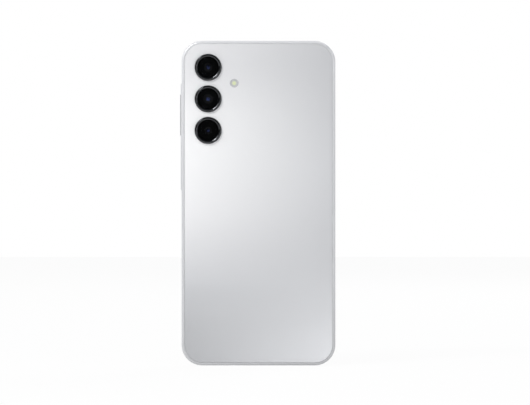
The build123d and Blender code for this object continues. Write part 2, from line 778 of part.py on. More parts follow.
def barrel(radius, z, y_low, y_high):
    """A lens barrel with a stepped mouth and a domed front element."""
    body = disc(radius, RING_X, z, y_low, y_high)
    mouth = radius - APERTURE / 2
    body -= disc(mouth, RING_X, z, y_high - CUTOUT_GAP, y_high)
    body -= disc(APERTURE, RING_X, z, y_high - 2 * CUTOUT_GAP, y_high)
    return body


def main_camera_housing():
    """The main camera's housing, bored for the moving barrel."""
    housing = slab(module_outline(MAIN_SIDE, MAIN_Z, 0), PLATE_BACK, PANEL_FRONT - MODULE_TO_PANEL)
    floor = PLATE_BACK + SENSOR_STACK
    return housing - disc(MAIN_BARREL + RUNNING, RING_X, MAIN_Z, floor, BACK)


def main_camera_barrel():
    """The main camera's barrel, which moves along its axis to focus."""
    return barrel(MAIN_BARREL, MAIN_Z, PLATE_BACK + SENSOR_STACK + RUNNING, LENS_FRONT - MAIN_BARREL_GAP)


def fixed_camera(side, radius, z, gap, height):
    """A fixed-focus camera module: a square housing and a fixed barrel."""
    housing = slab(module_outline(side, z, 0), PLATE_BACK, PLATE_BACK + height)
    return housing + barrel(radius, z, PLATE_BACK + height, LENS_FRONT - gap)


def wide_camera():
    """The wide camera, in the top ring."""
    return fixed_camera(WIDE_SIDE, WIDE_BARREL, WIDE_Z, WIDE_BARREL_GAP, BOARD_STANDOFF + BOARD)


def macro_camera():
    """The close-up camera, in the lowest ring."""
    return fixed_camera(MACRO_SIDE, MACRO_BARREL, MACRO_Z, MACRO_BARREL_GAP, BOARD_STANDOFF)


def front_camera():
    """The camera behind the front glass, in the display's notch."""
    half = FRONT_CAMERA_SIDE / 2
    step = GLASS_BACK + FRONT_CAMERA_STEP
    body = block(-half, half, step, BOARD_FRONT - FIT, FRONT_CAMERA_Z - half, FRONT_CAMERA_Z + half)
    return body + disc(FRONT_CAMERA_BARREL, 0, FRONT_CAMERA_Z, GLASS_BACK + FIT, step)


def flash_lens():
    """The clear round flash window in the back panel, with a shallow dish behind it."""
    lens = disc(FLASH_RADIUS, FLASH_X, FLASH_Z, PANEL_FRONT, BACK - FLASH_RECESS)
    return lens - disc(FLASH_EMITTER, FLASH_X, FLASH_Z, PANEL_FRONT, PANEL_FRONT + PANEL / 2)


def flash_led():
    """The flash's lamp: a square base on the board and a round emitter."""
    half = FLASH_BASE / 2
    base = block(FLASH_X - half, FLASH_X + half, BOARD_BACK, COVER_FRONT, FLASH_Z - half, FLASH_Z + half)
    return base + disc(FLASH_EMITTER - RUNNING, FLASH_X, FLASH_Z, COVER_FRONT, COVER_BACK)


# Bottom end: small board, port, speaker, microphones, vibration motor


def sub_board():
    """The small circuit board at the bottom end, cut round the port and the motor."""
    sketch = body_outline(INSERT_INSET) & block_outline(-WIDTH, SUB_BOARD_RIGHT, 0, SUB_BOARD_TOP)
    half = PORT_OUTER_WIDTH / 2 + INSERT_GAP
    sketch -= block_outline(-half, half, 0, PORT_TOP + INSERT_GAP)
    sketch -= Pos(MOTOR_X, MOTOR_Z) * Circle(MOTOR_RADIUS + CUTOUT_GAP)
    board = slab(sketch, BOARD_FRONT, BOARD_BACK)
    for x, z in SUB_BOARD_SCREWS:
        board -= disc(SHANK_RADIUS + CUTOUT_GAP, x, z, BOARD_FRONT, BOARD_BACK)
    return board


def usb_c_shell():
    """The port's metal shell, closed at its inner end."""
    shell = end_slab(SlotOverall(PORT_OUTER_WIDTH, PORT_OUTER_DEPTH), PORT_RECESS, PORT_TOP)
    return shell - end_slab(SlotOverall(PORT_WIDTH, PORT_DEPTH), PORT_RECESS, PORT_TOP - PORT_WALL)


def usb_c_tongue():
    """The port's centre tongue."""
    low = PORT_RECESS + TONGUE_RECESS
    half = TONGUE_WIDTH / 2
    return block(-half, half, -TONGUE / 2, TONGUE / 2, low, PORT_TOP - PORT_WALL)


def usb_c_contacts():
    """The row of contacts on each face of the tongue."""
    contacts = []
    low = PORT_RECESS + 2 * TONGUE_RECESS
    first = -CONTACT_PITCH * (CONTACTS_PER_SIDE - 1) / 2
    for i in range(CONTACTS_PER_SIDE):
        x = first + CONTACT_PITCH * i
        edges = (x - CONTACT_WIDTH / 2, x + CONTACT_WIDTH / 2)
        contacts.append(block(*edges, TONGUE / 2, TONGUE / 2 + CONTACT, low, low + CONTACT_LENGTH))
        contacts.append(block(*edges, -TONGUE / 2 - CONTACT, -TONGUE / 2, low, low + CONTACT_LENGTH))
    return group(contacts)


def usb_c_gasket():
    """The rubber ring between the port's shell and the frame."""
    outer = SlotOverall(PORT_OUTER_WIDTH + 2 * PORT_GASKET, PORT_OUTER_DEPTH + 2 * PORT_GASKET)
    ring = outer - SlotOverall(PORT_OUTER_WIDTH, PORT_OUTER_DEPTH)
    return end_slab(ring, WALL / 2, WALL)


def microphone(x, z_low):
    """A small microphone on a board's front."""
    half = MIC_WIDTH / 2
    return block(x - half, x + half, BOARD_FRONT - MIC, BOARD_FRONT, z_low, z_low + MIC_LENGTH)


def microphones():
    """The two microphones, each behind its hole in the frame."""
    return group([microphone(BOTTOM_MIC_X, MIC_Z), microphone(TOP_MIC_X, LENGTH - MIC_Z - MIC_LENGTH)])


def speaker_reach():
    """How far the row of speaker holes runs each way from its middle."""
    return SPEAKER_PITCH * (SPEAKER_HOLES - 1) / 2 + SPEAKER_HOLE_RADIUS


def loudspeaker_mesh():
    """The fine mesh inside the frame, behind the speaker holes."""
    reach = speaker_reach() + CUTOUT_GAP
    depth = SPEAKER_HOLE_RADIUS + CUTOUT_GAP
    return block(SPEAKER_X - reach, SPEAKER_X + reach, -depth, depth, WALL, WALL + MESH)


def loudspeaker_box():
    """The speaker's sealed box, with its nozzle towards the holes and a seat for the diaphragm."""
    wall = SPEAKER_WALL
    room = block_outline(SPEAKER_LEFT, WIDTH, 0, SPEAKER_TOP)
    hollow_room = block_outline(SPEAKER_LEFT + wall, WIDTH, 0, SPEAKER_TOP - wall)
    hollow = hollow_room & body_outline(INSERT_INSET + wall)
    box = slab(body_outline(INSERT_INSET) & room, PLATE_BACK, SPEAKER_BACK)
    box -= slab(hollow, PLATE_BACK + wall, SPEAKER_BACK - wall)
    seat_opening = outline(
        DIAPHRAGM_LENGTH - 2 * DIAPHRAGM_SEAT,
        DIAPHRAGM_WIDTH - 2 * DIAPHRAGM_SEAT,
        DIAPHRAGM_SEAT,
        *diaphragm_middle(),
    )
    box += slab(hollow - seat_opening, -wall, 0)
    mouth = SPEAKER_HOLE_RADIUS + RUNNING
    low = WALL + MESH
    left, right = SPEAKER_X - speaker_reach(), SPEAKER_X + speaker_reach()
    box += block(left - wall, right + wall, -mouth - wall, mouth + wall, low, INSERT_INSET)
    return box - block(left, right, -mouth, mouth, low, INSERT_INSET + wall)


def diaphragm_middle():
    """Where the diaphragm's middle lies."""
    return (SPEAKER_LEFT + INSERT_X) / 2, (INSERT_INSET + SPEAKER_TOP) / 2 + 1.0


def loudspeaker_diaphragm():
    """The speaker's oblong diaphragm, on its seat."""
    x, z = diaphragm_middle()
    return slab(outline(DIAPHRAGM_LENGTH, DIAPHRAGM_WIDTH, 2 * DIAPHRAGM_SEAT, x, z), 0, DIAPHRAGM)


def vibration_motor_can():
    """The coin motor's can and its fixed shaft."""
    top = PLATE_BACK + MOTOR
    can = disc(MOTOR_RADIUS, MOTOR_X, MOTOR_Z, PLATE_BACK, top)
    can -= disc(MOTOR_RADIUS - MOTOR_WALL, MOTOR_X, MOTOR_Z, PLATE_BACK + MOTOR_WALL, top - MOTOR_WALL)
    return can + disc(MOTOR_SHAFT, MOTOR_X, MOTOR_Z, PLATE_BACK + MOTOR_WALL, top - MOTOR_WALL)


def vibration_rotor():
    """The coin motor's off-balance rotor: a half disc on a sleeve."""
    low = PLATE_BACK + MOTOR_WALL + ROTOR_GAP
    high = PLATE_BACK + MOTOR - MOTOR_WALL - ROTOR_GAP
    reach = MOTOR_RADIUS
    rotor = disc(ROTOR_RADIUS, MOTOR_X, MOTOR_Z, low, high)
    rotor -= block(MOTOR_X - reach, MOTOR_X + reach, low, high, MOTOR_Z, MOTOR_Z + reach)
    rotor += disc(2 * MOTOR_SHAFT, MOTOR_X, MOTOR_Z, low, high)
    return rotor - disc(MOTOR_SHAFT + RUNNING, MOTOR_X, MOTOR_Z, low, high)


# Top end: earpiece


def earpiece():
    """The earpiece speaker, on the middle plate beside the front camera."""
    high = LENGTH - INSERT_INSET - INSERT_GAP
    half = EARPIECE_LENGTH / 2
    low = high - EARPIECE_WIDTH
    return block(EARPIECE_X - half, EARPIECE_X + half, PLATE_BACK, BOARD_FRONT - FIT, low, high)


def earpiece_mesh():
    """The fine mesh in the glass's earpiece slot."""
    half = EARPIECE_SLOT_LENGTH / 2 - FIT
    high = LENGTH - FRONT_RIM - FIT
    return block(-half, half, FRONT + 3 * FIT, GLASS_BACK, high - EARPIECE_SLOT + FIT, high)


# Keys


def key_cap(length, depth, z, outer):
    """A key: a rounded cap through the frame, and a flange that keeps it in."""
    cap = side_slab(outline(depth, length, depth / 2 - FIT, 0, z), FLANGE_OUTER, outer)
    face_edges = cap.faces().sort_by(Axis.X)[-1].edges()
    cap = fillet(face_edges, KEY_GAP)
    flange_outline = outline(depth + 2 * KEY_LIP_DEPTH, length + 2 * KEY_LIP_LENGTH, depth / 2, 0, z)
    return cap + side_slab(flange_outline, FLANGE_INNER, FLANGE_OUTER)


def volume_key():
    """The long volume key, which rocks about its middle and stands proud of the island."""
    return key_cap(VOLUME_LENGTH, VOLUME_DEPTH, VOLUME_Z, ISLAND_X + VOLUME_RISE)


def sensor_outline(gap):
    """The fingerprint sensor's rounded outline, with a gap all round."""
    return outline(SENSOR_DEPTH + 2 * gap, SENSOR_LENGTH + 2 * gap, SENSOR_DEPTH / 2 - FIT, 0, POWER_Z)


def power_key():
    """The power key, flush with the island, with a pocket for the fingerprint sensor."""
    key = key_cap(POWER_LENGTH, POWER_DEPTH, POWER_Z, ISLAND_X)
    return key - side_slab(sensor_outline(RUNNING), ISLAND_X - SENSOR, ISLAND_X)


def fingerprint_sensor():
    """The fingerprint sensor set into the power key's face."""
    return side_slab(sensor_outline(0), ISLAND_X - SENSOR, ISLAND_X - FIT)


def side_key_flex():
    """The stiffened flex behind the keys."""
    half = KEY_FLEX_DEPTH / 2
    return block(KEY_FLEX_INNER, KEY_FLEX_OUTER, -half, half, KEY_FLEX_BOTTOM, KEY_FLEX_TOP)


def side_key_switches():
    """Three small switches on the flex: two for the volume key and one for power."""
    switches = []
    for z in (VOLUME_Z + SWITCH_OFFSET, VOLUME_Z - SWITCH_OFFSET, POWER_Z):
        base = outline(SWITCH_DEPTH, SWITCH_LENGTH, CUTOUT_GAP, 0, z)
        switch = side_slab(base, KEY_FLEX_OUTER, KEY_FLEX_OUTER + SWITCH / 2)
        switch += side_slab(Pos(0, z) * Circle(SWITCH_BUTTON), KEY_FLEX_OUTER, SWITCH_OUTER)
        switches.append(switch)
    return group(switches)


# Card tray and its socket


def card_outline(length, width, x, gap):
    """A card's outline in the tray, with a gap all round."""
    return outline(length + 2 * gap, width + 2 * gap, 2 * CUTOUT_GAP, x, TRAY_Z)


def sim_tray():
    """The card tray: flush face with an eject hole, and a carrier with two pockets."""
    tray = side_slab(tray_face_outline(0), TRAY_OUTER, TRAY_OUTER + FACE)
    half = TRAY_WIDTH / 2
    tray += block(TRAY_OUTER + FACE, TRAY_INNER, TRAY_FRONT, TRAY_BACK, TRAY_Z - half, TRAY_Z + half)
    for length, width, x in ((SIM_LENGTH, SIM_WIDTH, SIM_X), (MEMORY_LENGTH, MEMORY_WIDTH, MEMORY_X)):
        tray -= slab(card_outline(length, width, x, POCKET_GAP), TRAY_FRONT, POCKET_FLOOR)
        tray -= slab(card_outline(length, width, x, -POCKET_LEDGE), TRAY_FRONT, TRAY_BACK)
    return tray - side_slab(Pos(TRAY_Y, EJECT_Z) * Circle(EJECT_HOLE_RADIUS), TRAY_OUTER, TRAY_OUTER + FACE)


def sim_tray_seal():
    """The rubber ring behind the tray's face."""
    ring = tray_face_outline(FACE_GAP - SEAL_GAP) - tray_face_outline(-TRAY_SEAL_WIDTH)
    return side_slab(ring, TRAY_OUTER + FACE, TRAY_OUTER + FACE + TRAY_SEAL)


def sim_card():
    """The SIM card, in the pocket nearer the face."""
    return slab(card_outline(SIM_LENGTH, SIM_WIDTH, SIM_X, 0), POCKET_FLOOR - SIM, POCKET_FLOOR)


def memory_card():
    """The memory card, in the inner pocket, with its grip ridge."""
    card = slab(card_outline(MEMORY_LENGTH, MEMORY_WIDTH, MEMORY_X, 0), POCKET_FLOOR - MEMORY, POCKET_FLOOR)
    half = MEMORY_WIDTH / 2 - 2 * CUTOUT_GAP
    low = MEMORY_X - MEMORY_LENGTH / 2
    face = POCKET_FLOOR - MEMORY
    return card + block(low, low + RIDGE_WIDTH, face - MEMORY_RIDGE, face, TRAY_Z - half, TRAY_Z + half)


def socket_room():
    """The socket's inner depth, front to back."""
    return PLATE_BACK + FIT + SOCKET_SHEET, TRAY_BACK + SOCKET_GAP


def sim_socket():
    """The card socket on the board: tray channel, rod channel, lever room and lever pin."""
    front, back = socket_room()
    tray_low = TRAY_Z - TRAY_WIDTH / 2 - SOCKET_GAP
    tray_high = TRAY_Z + TRAY_WIDTH / 2 + SOCKET_GAP
    rod_low = EJECT_Z - ROD / 2 - SOCKET_GAP
    rod_high = EJECT_Z + ROD / 2 + SOCKET_GAP
    mouth = -INNER_X + CUTOUT_GAP
    lever_end = LEVER_X + LEVER_SWING / 2 + CUTOUT_GAP
    end = lever_end + SOCKET_SIDE_WALL
    sheet = (PLATE_BACK + FIT, BOARD_FRONT)
    socket = block(mouth, end, *sheet, rod_low - SOCKET_SIDE_WALL, tray_high + SOCKET_SIDE_WALL)
    socket -= block(mouth, lever_end, front, back, tray_low, tray_high)
    socket -= block(mouth, lever_end, front, back, rod_low, rod_high)
    socket -= block(TRAY_INNER + FIT, lever_end, front, back, rod_low, tray_high)
    return socket + disc(LEVER_PIN, LEVER_X, LEVER_Z, front, back)


def eject_rod():
    """The eject rod behind the tray face's hole, with a rounded inner end."""
    half = ROD / 2
    rod = block(ROD_OUTER, ROD_INNER, TRAY_Y - half, TRAY_Y + half, EJECT_Z - half, EJECT_Z + half)
    inner_edges = rod.edges().filter_by(Axis.Y).group_by(Axis.X)[-1]
    return fillet(inner_edges, CUTOUT_GAP)


def eject_lever():
    """The eject lever, which turns on the socket's pin."""
    length = 2 * (LEVER_ARM + LEVER_END)
    sketch = outline(LEVER_WIDTH, length, LEVER_END, LEVER_X, LEVER_Z)
    lever = slab(sketch, TRAY_Y - LEVER / 2, TRAY_Y + LEVER / 2)
    hole = LEVER_PIN + RUNNING
    lever += disc(LEVER_HUB, LEVER_X, LEVER_Z, TRAY_Y - LEVER / 2, TRAY_Y + LEVER / 2)
    return lever - disc(hole, LEVER_X, LEVER_Z, TRAY_Y - LEVER / 2, TRAY_Y + LEVER / 2)


# Flexes and cable


def bridge_end(low, high, z_leg, z_foot, z_plug, side):
    """One end of the long flex: a leg down from the battery, a foot, and a plug on the board."""
    foot_y = BOARD_BACK + CONNECTOR
    z_leg_end = z_leg + side * FLEX
    leg = block(low, high, foot_y, BATTERY_BACK + 2 * FLEX, min(z_leg, z_leg_end), max(z_leg, z_leg_end))
    foot = block(low, high, foot_y, foot_y + FLEX, min(z_leg, z_foot), max(z_leg, z_foot))
    plug = block(low, high, BOARD_BACK, foot_y, z_plug - CONNECTOR_WIDTH / 2, z_plug + CONNECTOR_WIDTH / 2)
    return leg + foot + plug


def main_flex():
    """The long flex over the battery, joining the small board to the main board."""
    low, high = MAIN_FLEX_X - FLEX_WIDTH / 2, MAIN_FLEX_X + FLEX_WIDTH / 2
    bottom_leg = BATTERY_BOTTOM - FIT
    top_leg = BATTERY_TOP + FIT
    strip = block(
        low, high, BATTERY_BACK + FLEX, BATTERY_BACK + 2 * FLEX, bottom_leg - FLEX, top_leg + FLEX
    )
    top_plug = BOARD_BOTTOM + CONNECTOR_WIDTH
    bottom_plug = SUB_BOARD_TOP - CONNECTOR_WIDTH
    top = bridge_end(low, high, top_leg, top_plug + CONNECTOR_WIDTH / 2, top_plug, 1)
    bottom = bridge_end(low, high, bottom_leg, bottom_plug - CONNECTOR_WIDTH / 2, bottom_plug, -1)
    return strip + top + bottom


def display_flex_slot():
    """Lower and upper edge of the middle plate's slot for the display flex."""
    return SUB_BOARD_TOP - 3.4, SUB_BOARD_TOP - 1.8


def display_flex():
    """The display's flex: behind the panel, through the plate and up to the small board's front."""
    low, high = MAIN_FLEX_X - FLEX_WIDTH / 2, MAIN_FLEX_X + FLEX_WIDTH / 2
    slot_low, slot_high = display_flex_slot()
    turn = (slot_low + slot_high) / 2
    start = BEZEL_BOTTOM + DISPLAY_BORDER
    plug_front = BOARD_FRONT - CONNECTOR
    behind_display = block(low, high, DISPLAY_BACK, DISPLAY_BACK + DISPLAY_FLEX, start, turn)
    through = block(low, high, DISPLAY_BACK, plug_front, turn, turn + DISPLAY_FLEX)
    plug_low = turn - 2 * CONNECTOR_WIDTH
    foot = block(low, high, plug_front - DISPLAY_FLEX, plug_front, plug_low, turn + DISPLAY_FLEX)
    plug = block(low, high, plug_front, BOARD_FRONT, plug_low, plug_low + CONNECTOR_WIDTH)
    return behind_display + through + foot + plug


def antenna_cable():
    """The thin coaxial cable beside the battery, with a round plug on each board."""
    y = BOARD_BACK + FIT + CABLE_RADIUS
    low = SUB_BOARD_TOP - 3 * PLUG_RADIUS
    high = BOARD_BOTTOM + 4 * PLUG_RADIUS
    cable = end_slab(Pos(CABLE_X, y) * Circle(CABLE_RADIUS), low, high)
    for z in (low, high):
        cable += disc(PLUG_RADIUS, CABLE_X, z, BOARD_BACK, BOARD_BACK + 2 * CABLE_RADIUS + 2 * FIT)
    return cable


PIECES = {
    "side_frame": side_frame,
    "back_panel": back_panel,
    "back_panel_seal": back_panel_seal,
    "cover_glass": cover_glass,
    "display_adhesive": display_adhesive,
    "display_panel": display_panel,
    "display_flex": display_flex,
    "mid_plate": mid_plate,
    "battery": battery,
    "battery_adhesive": battery_adhesive,
    "battery_flex": battery_flex,
    "main_board": main_board,
    "board_chips": board_chips,
    "rear_shield_cans": rear_shield_cans,
    "front_shield_can": front_shield_can,
    "thermal_pad": thermal_pad,
    "board_cover": board_cover,
    "board_screws": board_screws,
    "nfc_antenna": nfc_antenna,
    "main_camera_housing": main_camera_housing,
    "main_camera_barrel": main_camera_barrel,
    "wide_camera": wide_camera,
    "macro_camera": macro_camera,
    "front_camera": front_camera,
    "flash_lens": flash_lens,
    "flash_led": flash_led,
    "sub_board": sub_board,
    "sub_board_screws": sub_board_screws,
    "usb_c_shell": usb_c_shell,
    "usb_c_tongue": usb_c_tongue,
    "usb_c_contacts": usb_c_contacts,
    "usb_c_gasket": usb_c_gasket,
    "microphones": microphones,
    "loudspeaker_box": loudspeaker_box,
    "loudspeaker_diaphragm": loudspeaker_diaphragm,
    "loudspeaker_mesh": loudspeaker_mesh,
    "vibration_motor_can": vibration_motor_can,
    "vibration_rotor": vibration_rotor,
    "earpiece": earpiece,
    "earpiece_mesh": earpiece_mesh,
    "volume_key": volume_key,
    "power_key": power_key,
    "fingerprint_sensor": fingerprint_sensor,
    "side_key_flex": side_key_flex,
    "side_key_switches": side_key_switches,
    "sim_tray": sim_tray,
    "sim_tray_seal": sim_tray_seal,
    "sim_card": sim_card,
    "memory_card": memory_card,
    "sim_socket": sim_socket,
    "eject_rod": eject_rod,
    "eject_lever": eject_lever,
    "main_flex": main_flex,
    "antenna_cable": antenna_cable,
}

RING_NAMES = ("upper", "middle", "lower")


def main():
    os.makedirs("parts", exist_ok=True)
    for name, make in PIECES.items():
        export_step(make(), f"parts/{name}.step")
    for name, z in zip(RING_NAMES, ring_places()):
        export_step(camera_ring(z), f"parts/camera_ring_{name}.step")
        export_step(lens_cover(z), f"parts/lens_cover_{name}.step")


main()
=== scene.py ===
"""Looks of the upright touchscreen phone: finishes for every CAD piece, the optical and printed
pieces that CAD leaves out, and a plain pale studio.

Sizes are in metres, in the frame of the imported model. Z runs along the phone, the screen faces -Y,
the back panel faces +Y and the keys are on +X.
"""

import math

import bmesh
import bpy
import numpy as np
from bpy.props import FloatProperty, FloatVectorProperty, IntProperty, PointerProperty
from mathutils import Matrix, Vector


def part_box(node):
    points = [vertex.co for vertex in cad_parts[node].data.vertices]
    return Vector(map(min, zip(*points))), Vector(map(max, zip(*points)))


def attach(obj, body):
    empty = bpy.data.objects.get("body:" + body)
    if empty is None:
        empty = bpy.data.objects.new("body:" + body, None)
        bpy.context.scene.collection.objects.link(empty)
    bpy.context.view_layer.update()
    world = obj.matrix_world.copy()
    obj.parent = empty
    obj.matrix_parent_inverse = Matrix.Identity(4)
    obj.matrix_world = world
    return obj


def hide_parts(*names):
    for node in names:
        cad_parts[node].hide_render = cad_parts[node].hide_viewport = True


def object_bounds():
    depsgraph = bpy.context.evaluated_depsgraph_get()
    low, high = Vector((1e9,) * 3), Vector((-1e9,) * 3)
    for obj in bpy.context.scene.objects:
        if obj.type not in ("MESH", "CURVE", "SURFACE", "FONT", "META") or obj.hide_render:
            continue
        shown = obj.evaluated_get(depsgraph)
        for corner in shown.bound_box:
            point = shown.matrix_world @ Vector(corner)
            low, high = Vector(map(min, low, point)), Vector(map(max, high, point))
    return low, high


bl_info = {
    "name": "Touchscreen phone finishes",
    "version": (1, 0, 0),
    "blender": (4, 5, 0),
    "location": "3D View > Sidebar > Phone",
    "description": "Finishes, camera optics, screen layers and studio for a touchscreen phone",
    "category": "Object",
}

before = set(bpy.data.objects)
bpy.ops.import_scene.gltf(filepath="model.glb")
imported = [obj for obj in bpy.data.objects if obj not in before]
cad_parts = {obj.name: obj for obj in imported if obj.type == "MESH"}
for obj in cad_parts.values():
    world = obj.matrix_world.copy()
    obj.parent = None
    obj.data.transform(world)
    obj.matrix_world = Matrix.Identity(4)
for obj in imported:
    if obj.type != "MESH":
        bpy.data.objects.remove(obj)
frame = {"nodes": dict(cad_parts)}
CAD_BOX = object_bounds()
NODES = frame["nodes"]

MM = 0.001
WAVE_PERIOD = math.tau / 20  # a Wave texture of scale 1 repeats after this length


# Colours and sizes


def linear(hex_colour):
    """An sRGB hex colour as linear red, green, blue and full opacity."""
    parts = [int(hex_colour[i : i + 2], 16) / 255 for i in (1, 3, 5)]
    return tuple(c / 12.92 if c <= 0.04045 else ((c + 0.055) / 1.055) ** 2.4 for c in parts) + (1.0,)


def shade(colour, share):
    """A linear colour made lighter or darker by a share."""
    return tuple(min(c * share, 1.0) for c in colour[:3]) + (1.0,)


def colour_property(label, text, hex_colour):
    """A colour that a user may change."""
    return FloatVectorProperty(
        name=label,
        description=text,
        subtype="COLOR",
        size=4,
        min=0.0,
        max=1.0,
        default=linear(hex_colour),
    )


def length_property(label, text, metres):
    """A length that a user may change."""
    return FloatProperty(name=label, description=text, unit="LENGTH", min=0.0, precision=5, default=metres)


class PhoneColours(bpy.types.PropertyGroup):
    """Colours of the finishes that show from outside."""

    # the frame's colour is the lit top of a painted shade that deepens towards the foot
    frame: colour_property("Frame", "Satin lacquer of the moulded frame, the lit tone of its painted shade", "#E6E7E9")
    # darker than the frame: painted shade of the key slots
    key: colour_property("Keys", "Satin lacquer of the keys, darkened as painted shade", "#8A8B8E")
    ring: colour_property("Camera rings", "Black vapour coat of the camera rings", "#464749")
    mask: colour_property("Lens ink", "Ink printed under the camera glass", "#060607")
    barrel: colour_property("Lens barrel", "Moulded barrel of a camera", "#27292D")
    coating: colour_property("Lens coating", "Tint that the lens coating reflects", "#5E6DAE")
    phosphor: colour_property("Flash phosphor", "Phosphor of the flash lamp", "#EBF2C6")
    flash_rim: colour_property("Flash lens", "Grooved part of the flash lens", "#D0D1D3")
    screen: colour_property("Dark screen", "Picture area while it is off", "#23262F")
    border: colour_property("Screen border", "Ink round the picture area", "#050506")
    floor: colour_property("Floor", "Pale studio floor", "#F4F4F4")


class PhoneSizes(bpy.types.PropertyGroup):
    """Sizes of the pieces that are made here."""

    window_upper: length_property("Upper window", "Clear radius of the upper camera glass", 2.2 * MM)
    window_middle: length_property("Middle window", "Clear radius of the main camera glass", 2.5 * MM)
    window_lower: length_property("Lower window", "Clear radius of the lower camera glass", 1.8 * MM)
    glass_edge: length_property("Glass edge", "Bevel round each camera glass", 0.08 * MM)
    ring_edge: length_property("Ring edge", "Radius of each camera ring's outer edge", 0.85 * MM)
    ring_fall: length_property("Ring fall", "Depth of the sloping lip round each camera glass", 0.23 * MM)
    ring_lip: length_property("Ring lip", "Width of the sloping lip round each camera glass", 0.5 * MM)
    lens: length_property("Front lens", "Radius of the domed front lens of each camera", 1.0 * MM)
    lens_rise: length_property("Front lens rise", "Height of the dome of each front lens", 0.33 * MM)
    lens_depth: length_property("Front lens depth", "From a barrel's mouth to its lens's foot", 0.5 * MM)
    ink: length_property("Ink", "Thickness of a printed layer, made thicker than it is", 0.02 * MM)
    groove: length_property("Flash groove", "Distance from one ring of the flash lens to the next", 0.21 * MM)
    groove_depth: length_property("Flash groove depth", "Depth of a groove in the flash lens", 0.06 * MM)
    side_border: length_property("Side border", "Dark border beside the picture area", 3.3 * MM)
    top_border: length_property("Top border", "Dark border above the picture area", 3.5 * MM)
    bottom_border: length_property("Bottom border", "Dark border below the picture area", 6.4 * MM)
    screen_corner: length_property("Screen corner", "Corner radius of the picture area", 8.0 * MM)
    notch: length_property("Notch", "Radius of the notch round the front camera", 2.9 * MM)
    segments: IntProperty(name="Segments", description="Steps round each round piece", min=24, default=96)


def colours():
    """The colours kept with the scene."""
    return bpy.context.scene.phone_colours


def sizes():
    """The sizes kept with the scene."""
    return bpy.context.scene.phone_sizes


# Materials: one function adds a node, one starts a material, and a few patterns feed them


def add(tree, kind, settings=None, inputs=None, stops=None):
    """Adds a node. Inputs are constants, or sockets to link from; stops fill a colour ramp."""
    made = tree.nodes.new(kind)
    for name, value in (settings or {}).items():
        setattr(made, name, value)
    for name, value in (inputs or {}).items():
        if isinstance(value, bpy.types.NodeSocket):
            tree.links.new(value, made.inputs[name])
        else:
            made.inputs[name].default_value = value
    if stops:
        ramp = made.color_ramp
        while len(ramp.elements) < len(stops):
            ramp.elements.new(0.5)
        for element, (place, colour) in zip(ramp.elements, stops):
            element.position = place
            element.color = colour
    return made


def begin(name, **constants):
    """A material with its shader, and the object's own coordinates in metres."""
    material = bpy.data.materials.new(name)
    material.use_nodes = True
    tree = material.node_tree
    tree.nodes.clear()
    inputs = {key.replace("_", " "): value for key, value in constants.items()}
    shader = add(tree, "ShaderNodeBsdfPrincipled", inputs=inputs)
    add(tree, "ShaderNodeOutputMaterial", inputs={"Surface": shader.outputs["BSDF"]})
    place = add(tree, "ShaderNodeTexCoord").outputs["Object"]
    return material, tree, shader, place


def cloudy(size, detail=3.0):
    """Soft uneven grain, with lumps of one size in metres."""

    def pattern(tree, place):
        noise = add(tree, "ShaderNodeTexNoise", inputs={"Vector": place, "Scale": 1 / size, "Detail": detail})
        return noise.outputs["Fac"]

    return pattern


def drawn(size, direction=(1.0, 1.0, 0.06)):
    """Fine lines left by drawing, rolling or brushing: noise stretched along the short direction."""

    def pattern(tree, place):
        stretched = add(tree, "ShaderNodeMapping", inputs={"Vector": place, "Scale": direction})
        noise = add(
            tree,
            "ShaderNodeTexNoise",
            inputs={"Vector": stretched.outputs["Vector"], "Scale": 1 / size, "Detail": 4.0},
        )
        return noise.outputs["Fac"]

    return pattern


def facets(size):
    """Small flat cells with one level each, like foil wrinkles, flakes or packed grains."""

    def pattern(tree, place):
        cells = add(tree, "ShaderNodeTexVoronoi", inputs={"Vector": place, "Scale": 1 / size})
        return cells.outputs["Distance"]

    return pattern


def turned(period, centre):
    """Rings round an axis along Y through a centre, as a lathe leaves them."""

    def pattern(tree, place):
        centred = add(tree, "ShaderNodeMapping", inputs={"Vector": place, "Location": [-c for c in centre]})
        rings = add(
            tree,
            "ShaderNodeTexWave",
            {"wave_type": "RINGS", "rings_direction": "Y"},
            {"Vector": centred.outputs["Vector"], "Scale": WAVE_PERIOD / period, "Distortion": 0.4},
        )
        return rings.outputs["Fac"]

    return pattern


def lined(period, direction):
    """Straight parallel lines across one axis, such as tracks, threads or dots of a printed layer."""

    def pattern(tree, place):
        lines = add(
            tree,
            "ShaderNodeTexWave",
            {"wave_type": "BANDS", "bands_direction": direction},
            {"Vector": place, "Scale": WAVE_PERIOD / period},
        )
        return lines.outputs["Fac"]

    return pattern


def crossed(period, first, second):
    """Two sets of lines across each other, as in woven cloth or wire mesh: the higher one shows."""

    def pattern(tree, place):
        over = lined(period, first)(tree, place)
        under = lined(period, second)(tree, place)
        top = add(tree, "ShaderNodeMath", {"operation": "MAXIMUM"})
        tree.links.new(over, top.inputs[0])
        tree.links.new(under, top.inputs[1])
        return top.outputs["Value"]

    return pattern


def finish(name, colour, pattern, roughness=0.5, tone=0.12, uneven=0.08, relief=0.0, **constants):
    """A finish whose pattern moves its colour, its roughness and its relief (in metres) together."""
    material, tree, shader, place = begin(name, **constants)
    base = linear(colour) if isinstance(colour, str) else tuple(colour)
    amount = pattern(tree, place)
    paint = add(
        tree,
        "ShaderNodeValToRGB",
        inputs={"Fac": amount},
        stops=[(0.25, shade(base, 1 - tone)), (0.75, shade(base, 1 + tone / 2))],
    )
    lowest, highest = max(roughness - uneven, 0.02), min(roughness + uneven, 1.0)
    rub = add(
        tree,
        "ShaderNodeMapRange",
        inputs={"Value": amount, "To Min": lowest, "To Max": highest},
    )
    tree.links.new(paint.outputs["Color"], shader.inputs["Base Color"])
    tree.links.new(rub.outputs["Result"], shader.inputs["Roughness"])
    if relief:
        bump = add(tree, "ShaderNodeBump", inputs={"Height": amount, "Distance": relief, "Strength": 0.6})
        tree.links.new(bump.outputs["Normal"], shader.inputs["Normal"])
    return material


